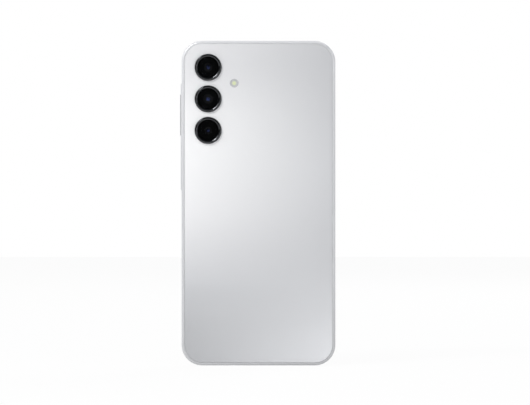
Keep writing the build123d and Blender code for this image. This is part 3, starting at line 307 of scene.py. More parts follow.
def paint(material, *names):
    """Gives CAD nodes a material, in their objects' own slots."""
    for name in names:
        obj = NODES[name]
        if not obj.material_slots:
            obj.data.materials.append(material)
        for slot in obj.material_slots:
            slot.material = material


def middle(name):
    """The middle of a CAD node's box."""
    low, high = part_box(name)
    return (low + high) / 2


# Meshes


def settle(name, vertices, faces, material, body, crease=30.0):
    """Puts a closed surface into the scene: faces outwards, smooth up to a crease angle in degrees."""
    mesh = bpy.data.meshes.new(name)
    mesh.from_pydata(np.asarray(vertices, float).tolist(), [], faces)
    work = bmesh.new()
    work.from_mesh(mesh)
    bmesh.ops.recalc_face_normals(work, faces=work.faces)
    work.to_mesh(mesh)
    work.free()
    mesh.polygons.foreach_set("use_smooth", np.ones(len(mesh.polygons), bool))
    mesh.set_sharp_from_angle(angle=math.radians(crease))
    mesh.materials.append(material)
    obj = bpy.data.objects.new(name, mesh)
    bpy.context.scene.collection.objects.link(obj)
    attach(obj, body)
    return obj


def lathe(name, profile, centre, material, body, crease=30.0):
    """A closed round piece: each (radius, y) of a profile is carried round an axis along Y.

    x = centre x + radius * sin(angle), z = centre z + radius * cos(angle). The first and last
    points of the profile are on the axis, and each is one vertex that a fan of triangles closes.
    """
    profile = np.asarray(profile, float)
    steps = sizes().segments
    angle = np.linspace(0, math.tau, steps, endpoint=False)
    inner = profile[1:-1]
    x = centre[0] + inner[:, :1] * np.sin(angle)
    y = np.repeat(inner[:, 1:2], steps, axis=1)
    z = centre[2] + inner[:, :1] * np.cos(angle)
    rings = np.stack([x, y, z], axis=-1).reshape(-1, 3)
    poles = np.array([[centre[0], profile[0, 1], centre[2]], [centre[0], profile[-1, 1], centre[2]]])
    faces = grid_faces(len(inner), steps)
    first, last = len(rings), len(rings) + 1
    now = np.arange(steps)
    after = (now + 1) % steps
    start = (len(inner) - 1) * steps
    faces += np.stack([np.full(steps, first), now, after], axis=1).tolist()
    faces += np.stack([np.full(steps, last), start + after, start + now], axis=1).tolist()
    return settle(name, np.vstack([rings, poles]), faces, material, body, crease)


def grid_faces(rows, columns, closed_rows=False):
    """Quads between neighbouring rows of a grid that is closed along its columns."""
    row = np.arange(rows if closed_rows else rows - 1)[:, None]
    column = np.arange(columns)[None, :]
    next_row, next_column = (row + 1) % rows, (column + 1) % columns
    corners = [
        row * columns + column,
        row * columns + next_column,
        next_row * columns + next_column,
        next_row * columns + column,
    ]
    quads = np.stack([np.broadcast_to(c, (len(row), columns)) for c in corners], axis=-1)
    return quads.reshape(-1, 4).tolist()


def band(name, profile, centre, material, body, crease=30.0):
    """A ring piece: a closed profile of (radius, y) points carried round an axis along Y."""
    profile = np.asarray(profile, float)
    steps = sizes().segments
    angle = np.linspace(0, math.tau, steps, endpoint=False)
    x = centre[0] + profile[:, :1] * np.sin(angle)
    z = centre[2] + profile[:, :1] * np.cos(angle)
    vertices = np.stack([x, np.broadcast_to(profile[:, 1:], x.shape), z], axis=-1).reshape(-1, 3)
    faces = grid_faces(len(profile), steps, closed_rows=True)
    return settle(name, vertices, faces, material, body, crease)


def washer(name, inner, outer, y_low, y_high, centre, material, body):
    """A flat ring: a square profile carried round an axis along Y."""
    profile = [(inner, y_low), (outer, y_low), (outer, y_high), (inner, y_high)]
    return band(name, profile, centre, material, body)


def rounded_outline(low_x, high_x, low_z, high_z, radius, steps=16):
    """A rounded rectangle across X and Z, anticlockwise from its right bottom: four quarter arcs."""
    quarter = np.linspace(0, math.pi / 2, steps)
    corners = [
        (high_x - radius, low_z + radius, -math.pi / 2),
        (high_x - radius, high_z - radius, 0.0),
        (low_x + radius, high_z - radius, math.pi / 2),
        (low_x + radius, low_z + radius, math.pi),
    ]
    arcs = [
        np.stack([x + radius * np.cos(quarter + turn), z + radius * np.sin(quarter + turn)], axis=1)
        for x, z, turn in corners
    ]
    return np.vstack(arcs)


def sheet(name, outline, y_low, y_high, material, body):
    """A flat sheet: an outline across X and Z at two depths, two lids and a wall between them."""
    count = len(outline)
    near = np.column_stack([outline[:, 0], np.full(count, y_low), outline[:, 1]])
    far = np.column_stack([outline[:, 0], np.full(count, y_high), outline[:, 1]])
    faces = grid_faces(2, count)
    faces.append(list(range(count)))
    faces.append(list(range(2 * count - 1, count - 1, -1)))
    return settle(name, np.vstack([near, far]), faces, material, body)


def pads(name, places, width, height, y_low, y_high, material, body, slot=None):
    """Like flat pads in one piece: the eight corners of a box are added to every place at once."""
    corner = np.array([[i, j, k] for i in (0, 1) for j in (0, 1) for k in (0, 1)], float)
    box = np.column_stack(
        [(corner[:, 0] - 0.5) * width, y_low + corner[:, 1] * (y_high - y_low), (corner[:, 2] - 0.5) * height]
    )
    spots = np.array([[x, 0.0, z] for x, z in places])
    vertices = (spots[:, None, :] + box[None, :, :]).reshape(-1, 3)
    sides = np.array([[0, 1, 3, 2], [4, 6, 7, 5], [0, 4, 5, 1], [2, 3, 7, 6], [0, 2, 6, 4], [1, 5, 7, 3]])
    faces = (np.arange(len(spots))[:, None, None] * 8 + sides[None]).reshape(-1, 4).tolist()
    return settle(name, vertices, faces, material, body)


# Finishes of the outside


def speckle(tree, shader, place, colour, size, shades, roughness):
    """Feeds a shader a colour and a roughness that vary a little over flakes of one size."""
    flakes = add(
        tree,
        "ShaderNodeTexNoise",
        inputs={"Vector": place, "Scale": 1 / size, "Detail": 2.0},
    )
    glint = add(
        tree,
        "ShaderNodeMapRange",
        inputs={"Value": flakes.outputs["Fac"], "To Min": shades[0], "To Max": shades[1]},
    )
    tint = add(tree, "ShaderNodeVectorMath", {"operation": "SCALE"})
    tree.links.new(colour, tint.inputs[0])
    tree.links.new(glint.outputs["Result"], tint.inputs["Scale"])
    tree.links.new(tint.outputs["Vector"], shader.inputs["Base Color"])
    rub = add(
        tree,
        "ShaderNodeMapRange",
        inputs={"Value": flakes.outputs["Fac"], "To Min": roughness[0], "To Max": roughness[1]},
    )
    tree.links.new(rub.outputs["Result"], shader.inputs["Roughness"])


def pearl_panel_painted_reflections():
    """In-mould coated polycarbonate: a pearl layer under clear lacquer, with painted reflections and painted
    shade in its colour.

    The painted light sweeps from a light to a deeper silver in one broad band, lighter on the side of the
    keys, where the lamps stand. Its tones lie along the panel's two long edges and blend across the width,
    and fine flakes keep it from looking flat.
    """
    low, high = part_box("back_panel")
    size = high - low
    material, tree, shader, place = begin(
        "In-mould pearl coated polycarbonate, painted reflections", Metallic=0.0, IOR=1.5, Coat_Weight=0.35, Coat_Roughness=0.12
    )
    across = add(
        tree,
        "ShaderNodeMapping",
        inputs={
            "Vector": place,
            "Location": (-low.x / size.x, 0.0, -low.z / size.z),
            "Scale": (1 / size.x, 0.0, 1 / size.z),
        },
    )
    axis = add(tree, "ShaderNodeSeparateXYZ", inputs={"Vector": across.outputs["Vector"]})
    # painted reflections of the lamps: the ramp on the keys' side is the lit one
    painted_light_side = add(
        tree,
        "ShaderNodeValToRGB",
        inputs={"Fac": axis.outputs["Z"]},
        stops=[
            (0.02, linear("#BBBCBE")),
            (0.14, linear("#C2C3C5")),
            (0.25, linear("#D1D2D4")),
            (0.42, linear("#EDEDEE")),
            (0.60, linear("#FBFBFB")),
            (0.78, linear("#FAFAFA")),
            (0.90, linear("#EDEDEE")),
            (1.00, linear("#EAEAEB")),
        ],
    )
    # painted shade: the ramp on the tray's side is the deeper one
    painted_shade_side = add(
        tree,
        "ShaderNodeValToRGB",
        inputs={"Fac": axis.outputs["Z"]},
        stops=[
            (0.02, linear("#E5E6E8")),
            (0.12, linear("#DADBDD")),
            (0.25, linear("#CFD0D2")),
            (0.38, linear("#CBCCCE")),
            (0.60, linear("#D1D2D4")),
            (0.75, linear("#CDCED0")),
            (0.92, linear("#C7C8CA")),
            (1.00, linear("#C7C8CA")),
        ],
    )
    for ramp in (painted_light_side, painted_shade_side):
        ramp.color_ramp.interpolation = "CARDINAL"
    blend = add(tree, "ShaderNodeMix", {"data_type": "RGBA"})
    tree.links.new(axis.outputs["X"], blend.inputs["Factor"])
    tree.links.new(painted_shade_side.outputs["Color"], blend.inputs[6])
    tree.links.new(painted_light_side.outputs["Color"], blend.inputs[7])
    # flakes are about 0.05 mm in the real coating; here they are 0.35 mm, so that they show at all
    speckle(tree, shader, place, blend.outputs[2], 0.35 * MM, (0.985, 1.01), (0.34, 0.44))
    return material


def key_lacquer_painted_shade():
    """Metallic lacquer on the moulded keys: fine flakes under a satin coat, darker than the frame's silver as
    painted shade of the slots they sit in.
    """
    # the keys' colour is darker than the frame's as painted shade
    # spray grain is about 0.1 mm; it is drawn at 0.4 mm so that it can be seen
    return finish(
        "Silver lacquer on moulded keys, painted shade",
        colours().key,
        cloudy(0.4 * MM),
        roughness=0.36,
        tone=0.05,
        uneven=0.05,
        relief=0.0006 * MM,
        Metallic=0.2,
        Coat_Weight=0.2,
        Coat_Roughness=0.2,
    )


def frame_lacquer():
    """Metallic lacquer on the moulded frame: satin silver with painted shade, lightest at the lit top corner
    and deepening towards the foot.
    """
    low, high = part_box("side_frame")
    size = high - low
    tone = tuple(colours().frame)
    material, tree, shader, place = begin(
        "Silver lacquer on moulded polycarbonate, painted shade",
        Metallic=0.2,
        Roughness=0.36,
        Coat_Weight=0.2,
        Coat_Roughness=0.2,
    )
    # the painted shade drifts five parts along the phone to one part across it, and 0 to 1 from corner to
    # corner
    along = Vector((1 / (6 * size.x), 0.0, 5 / (6 * size.z)))
    painted_shade_drift = add(tree, "ShaderNodeVectorMath", {"operation": "DOT_PRODUCT"}, {0: place, 1: along})
    share = add(
        tree, "ShaderNodeMath", {"operation": "SUBTRACT"}, {0: painted_shade_drift.outputs["Value"], 1: low.dot(along)}
    )
    # painted light and shade: the lacquer's colour at the lit top corner, two thirds of it at the shaded foot
    ramp = add(
        tree,
        "ShaderNodeValToRGB",
        inputs={"Fac": share.outputs["Value"]},
        stops=[(0.0, shade(tone, 0.66)), (0.25, shade(tone, 0.82)), (0.6, shade(tone, 0.87)), (1.0, tone)],
    )
    # spray grain is about 0.1 mm; it is drawn at 0.4 mm so that it can be seen
    speckle(tree, shader, place, ramp.outputs["Color"], 0.4 * MM, (0.97, 1.02), (0.32, 0.4))
    return material


class PHONE_OT_body(bpy.types.Operator):
    """Paint the frame, the back panel, the tray face and the keys"""

    bl_idname = "phone.body"
    bl_label = "Body and keys"

    def execute(self, context):
        paint(frame_lacquer(), "side_frame", "sim_tray")
        paint(key_lacquer_painted_shade(), "volume_key", "power_key")
        paint(pearl_panel_painted_reflections(), "back_panel")
        # a hard clear coat over the sensing layer gives a smooth, slightly darker oval
        coating = finish(
            "Hard coated sensor cover", "#B4B6BA", cloudy(0.5 * MM), roughness=0.18, tone=0.04, uneven=0.03,
            Coat_Weight=0.6, Coat_Roughness=0.06,
        )
        paint(coating, "fingerprint_sensor")
        return {"FINISHED"}


# Cameras and flash

# each camera's body, and the node of its barrel
CAMERAS = {
    "upper": ("phone", "wide_camera"),
    "middle": ("focus_barrel", "main_camera_barrel"),
    "lower": ("phone", "macro_camera"),
}

FLANGE_WIDTH = 0.57 * MM  # how far each ring's flange reaches under the back panel
LEDGE_SHARE = 0.88  # the ledge under each camera glass starts at this share of its radius


class PHONE_OT_camera_rings(bpy.types.Operator):
    """Make the three camera rings with their rounded lips, and paint the barrels behind them"""

    bl_idname = "phone.camera_rings"
    bl_label = "Camera rings"

    def execute(self, context):
        for place in CAMERAS:
            node = f"camera_ring_{place}"
            # turned aluminium under a black vapour coat: a dark mirror with faint lathe rings, which
            # are finer on the real one and drawn 0.25 mm apart so that they show
            black = finish(
                f"Black vapour coated aluminium {place}",
                colours().ring,
                turned(0.25 * MM, middle(node)),
                roughness=0.08,
                tone=0.12,
                uneven=0.03,
                Metallic=1.0,
            )
            self.ring(place, node, black)
        # glass-filled plastic moulded matt black, so that no light strays inside the lens
        matt = finish(
            "Matt black moulded barrel", colours().barrel, cloudy(0.3 * MM), roughness=0.55, tone=0.2,
            relief=0.004 * MM,
        )
        paint(matt, "wide_camera", "main_camera_barrel", "macro_camera", "front_camera")
        return {"FINISHED"}

    def ring(self, place, node, material):
        """The whole ring as one closed profile.

        Its outer edge is a quarter circle. Its lip falls inwards towards the glass by
        fall * (0.63 * s + 0.37 * s ** 2), a shallow bevel that is slightly hollow, from 16 to 32 degrees.
        """
        low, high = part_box(node)
        glass_low, glass_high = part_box(f"lens_cover_{place}")
        panel_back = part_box("back_panel")[0].y
        size, gap = sizes(), 0.01 * MM
        flange = (high.x - low.x) / 2
        glass = (glass_high.x - glass_low.x) / 2
        ledge, seat = LEDGE_SHARE * glass, glass + 2 * gap
        outer = flange - FLANGE_WIDTH
        quarter = np.linspace(0, math.pi / 2, 8)
        edge = np.column_stack(
            [
                outer - size.ring_edge * (1 - np.cos(quarter)),
                high.y - size.ring_edge * (1 - np.sin(quarter)),
            ]
        )
        share = np.linspace(0, 1, 12)
        lip = np.column_stack(
            [
                outer - size.ring_edge - size.ring_lip * share,
                high.y - size.ring_fall * (0.63 * share + 0.37 * share**2),
            ]
        )
        profile = np.vstack(
            [
                [(ledge, low.y), (flange, low.y), (flange, panel_back - gap), (outer, panel_back - gap)],
                edge,
                lip,
                [(lip[-1, 0], glass_high.y + gap), (seat, glass_high.y + gap)],
                [(seat, glass_low.y - gap), (ledge, glass_low.y - gap)],
            ]
        )
        made = band(f"camera_bezel_{place}", profile, middle(node), material, "phone")
        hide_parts(node)


class PHONE_OT_camera_glass(bpy.types.Operator):
    """Make the camera glass, the ink ring printed under it and the front lens of each camera"""

    bl_idname = "phone.camera_glass"
    bl_label = "Camera glass and lenses"

    def execute(self, context):
        size = sizes()
        # polished cover glass: nearly clear, a thin dark gloss over the black that lies behind it
        clear = finish(
            "Polished cover glass", "#060708", cloudy(2.0 * MM), roughness=0.02, tone=0.02, uneven=0.01,
            IOR=1.52, Alpha=0.3,
        )
        # screen printed ink under glass: dead black, hardly any gloss of its own
        ink = finish(
            "Screen printed black ink", colours().mask, cloudy(0.5 * MM), roughness=0.5, tone=0.3,
            Specular_IOR_Level=0.12,
        )
        # a multi-layer coating turns the lens's reflection blue to violet
        coated = finish(
            "Coated moulded lens", colours().coating, cloudy(1.0 * MM), roughness=0.06, tone=0.15,
            uneven=0.02, Metallic=1.0,
        )
        windows = {"upper": size.window_upper, "middle": size.window_middle, "lower": size.window_lower}
        for place, (body, barrel) in CAMERAS.items():
            self.glass(place, clear, ink, windows[place])
            self.lens(f"front_lens_{place}", barrel, body, coated)
        return {"FINISHED"}

    def glass(self, place, clear, ink, window):
        """The disc of glass with bevelled edges, and the ink ring under it."""
        node = f"lens_cover_{place}"
        low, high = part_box(node)
        centre = (low + high) / 2
        radius, edge = (high.x - low.x) / 2, sizes().glass_edge
        profile = [
            (0.0, high.y),
            (radius - edge, high.y),
            (radius, high.y - edge),
            (radius, low.y + edge),
            (radius - edge, low.y),
            (0.0, low.y),
        ]
        glass = lathe(f"camera_glass_{place}", profile, centre, clear, "phone")
        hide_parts(node)
        bore, top = LEDGE_SHARE * radius, low.y - sizes().ink / 2
        bottom = top - sizes().ink
        washer(f"ink_ring_{place}", window, bore, bottom, top, centre, ink, "phone")

    def lens(self, name, barrel, body, material):
        """A shallow dome in the barrel's mouth: y = base + rise * (1 - (r / R) ** 2), on a thin rim."""
        size, rim = sizes(), 0.02 * MM
        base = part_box(barrel)[1].y - size.lens_depth
        share = np.linspace(0, 1, 14)
        dome = np.column_stack([share * size.lens, base + size.lens_rise * (1 - share**2) + rim])
        profile = np.vstack([dome, [[size.lens, base], [0.0, base]]])
        lathe(name, profile, middle(barrel), material, body, crease=50.0)


class PHONE_OT_flash(bpy.types.Operator):
    """Make the grooved flash lens and paint the lamp under it"""

    bl_idname = "phone.flash"
    bl_label = "Flash"

    def execute(self, context):
        low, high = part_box("flash_lens")
        centre = (low + high) / 2
        radius = (high.x - low.x) / 2
        size = sizes()
        # the pocket behind the lens takes the lamp
        pocket, roof = 1.1 * MM, low.y + 0.54 * (high.y - low.y)
        # the crown is a low dome, and round it each groove rises slowly and drops at once
        share = np.linspace(0, 1, 8)
        crown = np.column_stack([share * pocket, high.y - size.groove_depth * share**2])
        count = int((radius - pocket - size.groove / 2) / size.groove)
        start = pocket + size.groove * np.arange(count)
        saw = np.stack(
            [
                np.column_stack([start + 0.1 * size.groove, np.full(count, high.y)]),
                np.column_stack([start + size.groove, np.full(count, high.y - size.groove_depth)]),
            ],
            axis=1,
        ).reshape(-1, 2)
        outside = [(radius, high.y - size.groove_depth / 2), (radius, low.y)]
        hollow = [(pocket, low.y), (pocket, roof), (0.0, roof)]
        profile = np.vstack([crown, saw, outside, hollow])
        clear = self.lens_material(centre, radius)
        lens = lathe("flash_lens_grooved", profile, centre, clear, "phone")
        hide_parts("flash_lens")
        # a phosphor layer in silicone: pale yellow and quite matt
        phosphor = finish(
            "Phosphor in silicone", colours().phosphor, facets(0.25 * MM), roughness=0.5, tone=0.06,
            Subsurface_Weight=0.2, Subsurface_Scale=0.3 * MM,
        )
        paint(phosphor, "flash_led")
        return {"FINISHED"}

    def lens_material(self, centre, radius):
        """Clear moulded acrylic over the lamp: yellow where the phosphor shows, and round it a grey ring with
        painted shade in the grooves and a lighter outer edge.
        """
        material, tree, shader, place = begin(
            "Moulded acrylic flash lens",
            IOR=1.49,
            Coat_Weight=0.4,
            Coat_Roughness=0.05,
            Transmission_Weight=0.15,
        )
        centred = add(
            tree,
            "ShaderNodeMapping",
            inputs={"Vector": place, "Location": (-centre.x, 0.0, -centre.z), "Scale": (1.0, 0.0, 1.0)},
        )
        away = add(tree, "ShaderNodeVectorMath", {"operation": "LENGTH"})
        tree.links.new(centred.outputs["Vector"], away.inputs[0])
        ring = add(
            tree,
            "ShaderNodeMapRange",
            inputs={"Value": away.outputs["Value"], "From Min": 0.0, "From Max": radius},
        )
        tones = colours()
        show = add(
            tree,
            "ShaderNodeValToRGB",
            inputs={"Fac": ring.outputs["Result"]},
            # painted shade: the grooved ring dips darker in its middle and grows lighter at its outer edge
            stops=[
                (0.38, tuple(tones.phosphor)),
                (0.56, shade(tuple(tones.flash_rim), 1.05)),
                (0.80, shade(tuple(tones.flash_rim), 0.92)),
                (0.97, shade(tuple(tones.flash_rim), 1.18)),
            ],
        )
        tree.links.new(show.outputs["Color"], shader.inputs["Base Color"])
        grain = add(tree, "ShaderNodeTexNoise", inputs={"Vector": place, "Scale": 1 / (0.3 * MM)})
        rub = add(
            tree,
            "ShaderNodeMapRange",
            inputs={"Value": grain.outputs["Fac"], "To Min": 0.12, "To Max": 0.3},
        )
        tree.links.new(rub.outputs["Result"], shader.inputs["Roughness"])
        return material


# Screen


class PHONE_OT_screen(bpy.types.Operator):
    """Paint the front glass, and make the ink border, the dark picture area and the camera window"""

    bl_idname = "phone.screen"
    bl_label = "Screen"

    def execute(self, context):
        size, tone = sizes(), colours()
        # strengthened glass with a finger-proof coating: nearly clear, with a deep even gloss
        front = finish(
            "Strengthened front glass", "#08090B", cloudy(8.0 * MM), roughness=0.03, tone=0.02, uneven=0.01,
            IOR=1.51, Alpha=0.4,
        )
        paint(front, "cover_glass")
        # the stack of films behind the glass: black edge, faint sheen of foil
        stack = finish("Bonded display stack", "#15161A", drawn(0.3 * MM), roughness=0.4, tone=0.15)
        paint(stack, "display_panel")
        self.layers(size, tone)
        self.front_camera(tone)
        return {"FINISHED"}

    def layers(self, size, tone):
        """The ink sheet under the whole glass, and in front of it the picture area with its notch."""
        low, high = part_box("cover_glass")
        inset = 0.3 * MM
        edge = rounded_outline(low.x + inset, high.x - inset, low.z + inset, high.z - inset, 9.0 * MM)
        back = high.y - size.ink / 4
        # screen printed in several coats: dense and even
        ink = finish("Screen printed border ink", tone.border, cloudy(0.6 * MM), roughness=0.5, tone=0.2)
        sheet("screen_ink", edge, back - size.ink, back, ink, "phone")
        body_low, body_high = CAD_BOX
        half = -body_low.x - size.side_border
        outline = rounded_outline(
            -half, half, body_low.z + size.bottom_border, body_high.z - size.top_border, size.screen_corner
        )
        # thin-film cells behind a polariser: a very dark blue-grey, too fine to be seen as lines
        dark = finish(
            "Dark liquid crystal cell", tone.screen, cloudy(9.0 * MM), roughness=0.3, tone=0.06, uneven=0.02,
            Specular_IOR_Level=0.3,
        )
        picture = self.notched(outline, middle("front_camera"), size.notch)
        sheet("screen_picture_area", picture, back - 2 * size.ink, back - size.ink, dark, "phone")

    def notched(self, outline, camera, radius):
        """The outline with a U cut down from its top edge: a half circle round the front camera."""
        top = outline[:, 1].max()
        turn = np.linspace(0, -math.pi, 25)
        bow = np.column_stack([camera.x + radius * np.cos(turn), camera.z + radius * np.sin(turn)])
        notch = np.vstack([[[camera.x + radius, top]], bow, [[camera.x - radius, top]]])
        on_right_top = np.flatnonzero((outline[:, 1] > top - 1e-7) & (outline[:, 0] > 0))[-1]
        return np.vstack([outline[: on_right_top + 1], notch, outline[on_right_top + 1 :]])

    def front_camera(self, tone):
        """The front camera behind the glass: a dark iris ring, and a coated dome that faces -Y.

        The dome is y = back - rise * (1 - (r / R) ** 2) - rim.
        """
        centre = middle("front_camera")
        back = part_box("cover_glass")[1].y - 2 * sizes().ink
        iris_inner, iris_outer, iris_depth = 0.9 * MM, 1.7 * MM, 0.03 * MM
        radius, rise, rim = 0.85 * MM, 0.12 * MM, 0.01 * MM
        # black anodised iris: satin, with a thin turned edge
        iris = finish("Black iris ring", "#17181B", turned(0.2 * MM, centre), roughness=0.3, tone=0.3)
        front = back - iris_depth
        washer("front_camera_iris", iris_inner, iris_outer, front, back, centre, iris, "phone")
        coated = bpy.data.materials["Coated moulded lens"]
        share = np.linspace(0, 1, 10)
        dome = np.column_stack([share * radius, back - rise * (1 - share**2) - rim])
        profile = np.vstack([dome, [[radius, back + rim], [0.0, back + rim]]])
        lathe("front_camera_lens", profile, centre, coated, "phone", crease=50.0)


# Port, tray, cards and sound


class PHONE_OT_openings(bpy.types.Operator):
    """Paint the port, the sound parts, the tray's seal and the cards, and make the cards' contacts"""

    bl_idname = "phone.openings"
    bl_label = "Port, tray and sound"

    def execute(self, context):
        # deep drawn stainless steel: bright, with drawing lines along its length
        steel = finish(
            "Deep drawn stainless steel", "#C6C8CA", drawn(0.12 * MM), roughness=0.28, tone=0.1, Metallic=1.0
        )
        paint(steel, "usb_c_shell")
        # glass-filled liquid crystal polymer: dense black, slightly grainy
        polymer = finish("Black moulded polymer tongue", "#16171A", cloudy(0.2 * MM), roughness=0.5, tone=0.2)
        paint(polymer, "usb_c_tongue")
        gold = finish(
            "Gold plated contact", "#E3B15A", drawn(0.1 * MM), roughness=0.2, tone=0.08, uneven=0.05,
            Metallic=1.0,
        )
        paint(gold, "usb_c_contacts")
        # liquid silicone rubber: soft black with a dusty sheen
        rubber = finish(
            "Black silicone rubber", "#1D1D1F", cloudy(0.4 * MM), roughness=0.75, tone=0.2, Sheen_Weight=0.3
        )
        paint(rubber, "usb_c_gasket", "sim_tray_seal")
        # wires 0.05 mm thick woven 0.12 mm apart: drawn 0.25 mm apart so that the weave shows
        woven = finish(
            "Woven stainless mesh", "#3C3E42", crossed(0.25 * MM, "X", "Y"), roughness=0.4, tone=0.6,
            relief=0.03 * MM, Metallic=0.8,
        )
        paint(woven, "loudspeaker_mesh", "earpiece_mesh")
        # thermoformed film with a rubber rim: dark and silky
        film = finish(
            "Thermoformed diaphragm", "#2A2C30", turned(1.2 * MM, middle("loudspeaker_diaphragm")),
            roughness=0.35, tone=0.3, relief=0.05 * MM,
        )
        paint(film, "loudspeaker_diaphragm")
        # laminated PVC: off-white, smooth, with a slight orange peel
        card = finish(
            "Laminated card plastic", "#ECECE8", cloudy(0.6 * MM), roughness=0.35, tone=0.04,
            relief=0.002 * MM,
        )
        paint(card, "sim_card")
        # epoxy moulded card: matt black
        epoxy = finish("Epoxy moulded card", "#1A1B1D", facets(0.15 * MM), roughness=0.55, tone=0.25)
        paint(epoxy, "memory_card")
        self.contacts(gold)
        return {"FINISHED"}

    def contacts(self, gold):
        """Six gold pads on the SIM card and eight strips on the memory card, on their -Y faces."""
        proud = 0.02 * MM
        low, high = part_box("sim_card")
        centre = (low + high) / 2
        across, along = 4.2672 * MM, 2.2 * MM
        columns, rows = np.meshgrid((np.arange(2) - 0.5) * across, (np.arange(3) - 1) * along)
        spots = np.column_stack([centre.x + columns.ravel(), centre.z + rows.ravel()])
        depth = (low.y - proud, low.y + proud)
        pads("sim_card_contacts", spots, 3.6 * MM, 1.9 * MM, *depth, gold, "card_tray", "contact_gold")
        low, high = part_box("memory_card")
        centre = (low + high) / 2
        inset, along = 2.4 * MM, 1.1 * MM
        rows = centre.z + (np.arange(8) - 3.5) * along
        spots = np.column_stack([np.full(8, high.x - inset), rows])
        depth = (low.y - proud, low.y + proud)
        pads("memory_card_contacts", spots, 2.9 * MM, 0.75 * MM, *depth, gold, "card_tray", "contact_gold")


# Inside


class PHONE_OT_inside(bpy.types.Operator):
    """Paint the boards, shields, battery, flexes and other pieces inside the phone"""

    bl_idname = "phone.inside"
    bl_label = "Inside"

    def execute(self, context):
        # die-cut acrylic foam: black, open and matt
        foam = finish("Die-cut acrylic foam tape", "#1B1C1E", facets(0.2 * MM), roughness=0.85, tone=0.3)
        paint(foam, "back_panel_seal", "display_adhesive", "battery_adhesive")
        # polyimide film over copper: dark amber, with tracks 0.8 mm apart showing as faint lines
        flex = finish("Polyimide flex with tracks", "#3A2A14", lined(0.8 * MM, "X"), roughness=0.35, tone=0.3)
        paint(flex, "display_flex", "battery_flex", "side_key_flex", "main_flex")
        # ferrite sheet with a printed loop: dark grey, slightly glittering
        loop = finish("Ferrite backed antenna film", "#2B2D31", facets(0.3 * MM), roughness=0.45, tone=0.25)
        paint(loop, "nfc_antenna")
        # stamped aluminium: dull silver with rolling lines
        plate = finish(
            "Stamped aluminium sheet", "#A9ABAE", drawn(0.25 * MM), roughness=0.42, tone=0.1, Metallic=1.0,
            relief=0.002 * MM,
        )
        paint(plate, "mid_plate")
        # aluminium laminate pouch under black film: soft wrinkles and a low gloss
        pouch = finish(
            "Laminated battery pouch", "#232427", cloudy(7.0 * MM, 4.0), roughness=0.4, tone=0.2,
            relief=0.05 * MM,
        )
        paint(pouch, "battery")
        # solder mask over woven glass: deep blue-green, the 0.5 mm weave just showing
        board = finish(
            "Solder mask on woven glass", "#123A34", crossed(0.5 * MM, "X", "Z"), roughness=0.32, tone=0.25,
            relief=0.004 * MM,
        )
        paint(board, "main_board", "sub_board")
        # epoxy packages: matt grey-black
        package = finish("Epoxy chip package", "#202124", facets(0.12 * MM), roughness=0.6, tone=0.25)
        paint(package, "board_chips")
        # stamped nickel silver: warm grey metal, fine rolling lines
        shield = finish(
            "Stamped nickel silver", "#B9B7B0", drawn(0.15 * MM), roughness=0.3, tone=0.08, Metallic=1.0
        )
        paint(shield, "rear_shield_cans", "front_shield_can", "sim_socket")
        # filled silicone: soft grey-pink, quite matt
        pad = finish("Filled silicone pad", "#8E8A92", facets(0.4 * MM), roughness=0.8, tone=0.12)
        paint(pad, "thermal_pad")
        # glass-filled nylon, moulded with a spark eroded texture: matt black
        nylon = finish(
            "Spark textured nylon", "#1C1D1F", cloudy(0.35 * MM), roughness=0.6, tone=0.25, relief=0.01 * MM
        )
        paint(nylon, "board_cover", "loudspeaker_box", "earpiece")
        # nickel plated steel: bright and slightly yellow
        screw = finish(
            "Nickel plated screw", "#BDB9AE", cloudy(0.2 * MM), roughness=0.25, tone=0.12, Metallic=1.0
        )
        paint(screw, "board_screws", "sub_board_screws")
        # stainless parts, tumbled: soft grey metal
        tumbled = finish(
            "Tumbled stainless steel", "#A6A8AB", cloudy(0.25 * MM), roughness=0.35, tone=0.12, Metallic=1.0
        )
        paint(
            tumbled,
            "main_camera_housing",
            "microphones",
            "vibration_motor_can",
            "eject_rod",
            "eject_lever",
            "side_key_switches",
        )
        # sintered tungsten: heavy dark metal with an open grain
        tungsten = finish(
            "Sintered tungsten", "#6E7073", facets(0.12 * MM), roughness=0.45, tone=0.2, Metallic=1.0
        )
        paint(tungsten, "vibration_rotor")
        # extruded fluoropolymer jacket: smooth grey-white
        jacket = finish("Extruded cable jacket", "#D9DBDD", drawn(0.3 * MM), roughness=0.4, tone=0.05)
        paint(jacket, "antenna_cable")
        return {"FINISHED"}


# Studio


def lamp(name, place, aim, size, power, height=None, along=(1.0, 0.0, 0.0)):
    """A soft lamp that points at a place, with its width along a direction. The camera doesn't see it."""
    light = bpy.data.lights.new(name, "AREA")
    light.shape = "RECTANGLE"
    light.size = size
    light.size_y = height or size
    light.energy = power
    obj = bpy.data.objects.new(name, light)
    obj.location = place
    obj.rotation_mode = "QUATERNION"
    back = (obj.location - aim).normalized()
    side = back.cross(Vector(along)).normalized()
    obj.rotation_quaternion = Matrix((side.cross(back), side, back)).transposed().to_quaternion()
    obj.visible_camera = False
    bpy.context.scene.collection.objects.link(obj)


def gloss_or_glass(tree, path):
    """1 for a ray that leaves gloss or glass, and 0 for any other."""
    rays = {0: path.outputs["Is Glossy Ray"], 1: path.outputs["Is Transmission Ray"]}
    return add(tree, "ShaderNodeMath", {"operation": "MAXIMUM"}, rays).outputs["Value"]


